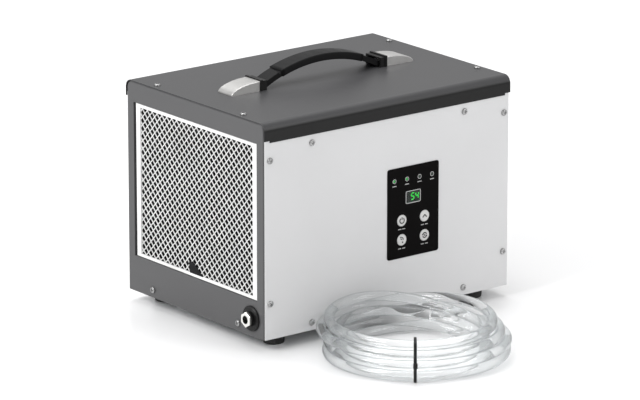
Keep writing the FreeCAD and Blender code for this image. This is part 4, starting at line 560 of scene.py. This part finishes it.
def addDigits():
    middle = (panel["windowLow"] + panel["windowHigh"]) / 2
    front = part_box("display_module")[0].y - digits["deep"] / 2
    half, quarter, slim = digits["wide"] / 2, digits["high"] / 4, digits["stroke"]
    segments = {  # across, up, and whether it lies flat
        "a": (0, 2 * quarter, True), "g": (0, 0, True), "d": (0, -2 * quarter, True),
        "f": (-half, quarter, False), "b": (half, quarter, False),
        "e": (-half, -quarter, False), "c": (half, -quarter, False),
    }
    bars = []
    for number, figure in enumerate(digits["text"]):
        across = (number - (len(digits["text"]) - 1) / 2) * digits["pitch"] + digits["shift"]
        for letter in digits["lit"][figure]:
            x, z, flat = segments[letter]
            lean = z * math.tan(digits["lean"])
            long = (digits["wide"] if flat else 2 * quarter) - 0.75 * slim
            size = (long, slim) if flat else (slim, long)
            bars.append(addBar(middle.x + across + x + lean, front, middle.z + z, *size, digits["deep"],
                               0 if flat else digits["lean"]))
    lit = joined(bars, "displayDigits", digitGreen)
    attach(lit, "casing")


lamps = {"lit": 2, "ringRadius": 0.0026, "ringBand": 0.0005, "ringDeep": 0.0002}


def lampPlaces():
    low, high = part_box("indicator_leds")
    first, last = low.x + (high.z - low.z) / 2, high.x - (high.z - low.z) / 2
    return [first + (last - first) * number / 3 for number in range(4)], (low.z + high.z) / 2


def addLamps():
    startClean()
    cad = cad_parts["indicator_leds"]
    lenses = cad.copy()
    lenses.data = cad.data.copy()
    lenses.parent = None
    bpy.context.collection.objects.link(lenses)
    tidyNormals(lenses)
    lenses.name = "lampLenses"
    lenses.data.name = "lampLenses"
    lenses.data.materials.clear()
    lenses.data.materials.append(litGreen)
    lenses.data.materials.append(unlitGreen)
    places, height = lampPlaces()
    between = (places[lamps["lit"] - 1] + places[lamps["lit"]]) / 2
    for face in lenses.data.polygons:
        face.material_index = 0 if face.center.x < between else 1
    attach(lenses, "casing")
    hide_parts("indicator_leds")
    front = panel["face"] - lamps["ringDeep"] / 2
    size = (lamps["ringRadius"], lamps["ringBand"], lamps["ringDeep"])
    rings = [addArc(x, front, height, *size, 0, 2 * math.pi) for x in places]
    piece = joined(rings, "lampRings", legendWhite)
    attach(piece, "casing")


addWindowFrame()
addDigits()
addLamps()
print("display and lamps done")


# key signs and plain legend marks

signs = {
    "deep": 0.00016,
    "stroke": 0.0015,
    "radius": 0.0034,
    "powerGap": math.radians(70),
    "upReach": 0.00476,
    "upTilt": math.radians(46),
    "upSpread": 0.33,  # share of a bar's reach that it stands to its side
    "dot": 0.0011,
    "drip": 0.0009,  # how far the drop falls to the right
    "wallStroke": 0.0015 / 1.3,
    "wallSweep": math.radians(115),
    "arrowRadius": 0.00306,
    "arrowStarts": (math.radians(20), math.radians(200)),
    "arrowSweep": math.radians(130),
    "arrowTip": math.radians(140),
    "arrowWidth": 0.0020,
}
keyBodies = {"button_power": "key_power", "button_up": "key_up", "button_drain": "key_drain",
             "button_mode": "key_mode"}


def keyMiddle(node):
    low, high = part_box(node)
    return (low.x + high.x) / 2, low.y - signs["deep"] / 2, (low.z + high.z) / 2


def powerSign(x, y, z):
    radius, stroke, deep = signs["radius"], signs["stroke"], signs["deep"]
    gap = signs["powerGap"]
    ring = addArc(x, y, z, radius, stroke, deep, math.pi / 2 + gap / 2, 2 * math.pi - gap)
    return [ring, addBar(x, y, z + 0.8 * radius, stroke, radius, deep)]


def upSign(x, y, z):
    reach, aside = signs["upReach"], signs["upSpread"] * signs["upReach"]
    return [addBar(x + side * aside, y, z, reach, signs["stroke"], signs["deep"], side * signs["upTilt"])
            for side in (-1, 1)]


def addDot(x, y, z):
    return addArc(x, y, z, signs["dot"] / 2, signs["dot"], signs["deep"], 0, 2 * math.pi)


def drainSign(x, y, z):
    radius, stroke, sweep = signs["radius"], signs["wallStroke"], signs["wallSweep"]
    walls = [addArc(x - radius / 2, y, z, share * radius, stroke, signs["deep"], 0, sweep)
             for share in (0.45, 1.1)]
    return walls + [addDot(x + signs["drip"], y, z - 0.9 * radius)]


def modeSign(x, y, z):
    radius, stroke, deep, wide = signs["arrowRadius"], signs["stroke"], signs["deep"], signs["arrowWidth"]
    pieces = [addDot(x, y, z)]
    for start in signs["arrowStarts"]:
        pieces.append(addArc(x, y, z, radius, stroke, deep, start, signs["arrowSweep"]))
        tip = start + signs["arrowTip"]
        pieces.append(addBar(x + radius * math.cos(tip), y, z + radius * math.sin(tip), wide, wide, deep,
                             math.pi / 4 - tip))
    return pieces


def addKeySigns():
    for node, draw in (("button_power", powerSign), ("button_up", upSign), ("button_drain", drainSign),
                       ("button_mode", modeSign)):
        piece = joined(draw(*keyMiddle(node)), node.replace("button", "sign"), iconDark)
        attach(piece, keyBodies[node])


legend = {"deep": 0.00012, "high": 0.0011, "pitch": 0.0016, "lampDrop": 0.0064, "keyDrop": 0.0110,
          "lampMarks": (1, 1, 1, 1), "keyMarks": (1, 1, 1, 0, 1, 1, 1)}


def addMarks(x, front, z, pattern):
    middle = (len(pattern) - 1) / 2
    return [addBar(x + (number - middle) * legend["pitch"], front, z, 0.7 * legend["pitch"], legend["high"],
                   legend["deep"]) for number, drawn in enumerate(pattern) if drawn]


def addLegend():
    front = panel["face"] - legend["deep"] / 2
    places, height = lampPlaces()
    marks = []
    for x in places:
        marks += addMarks(x, front, height - legend["lampDrop"], legend["lampMarks"])
    for node in keyBodies:
        x, _, z = keyMiddle(node)
        marks += addMarks(x, front, z - legend["keyDrop"], legend["keyMarks"])
    piece = joined(marks, "legendMarks", legendWhite)
    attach(piece, "casing")


addKeySigns()
addLegend()
print("key signs done")


# carrying strap


def addStrap():
    startClean()
    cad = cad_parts["handle_strap"]
    piece = cad.copy()
    piece.data = cad.data.copy()
    piece.parent = None
    bpy.context.collection.objects.link(piece)
    tidyNormals(piece)
    piece.name = "carryStrap"
    piece.data.name = "carryStrap"
    startClean()
    piece.select_set(True)
    bpy.context.view_layer.objects.active = piece
    bpy.ops.object.shade_smooth_by_angle(angle=math.radians(35))
    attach(piece, "casing")
    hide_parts("handle_strap")
    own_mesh(piece)


addStrap()
print("strap done")
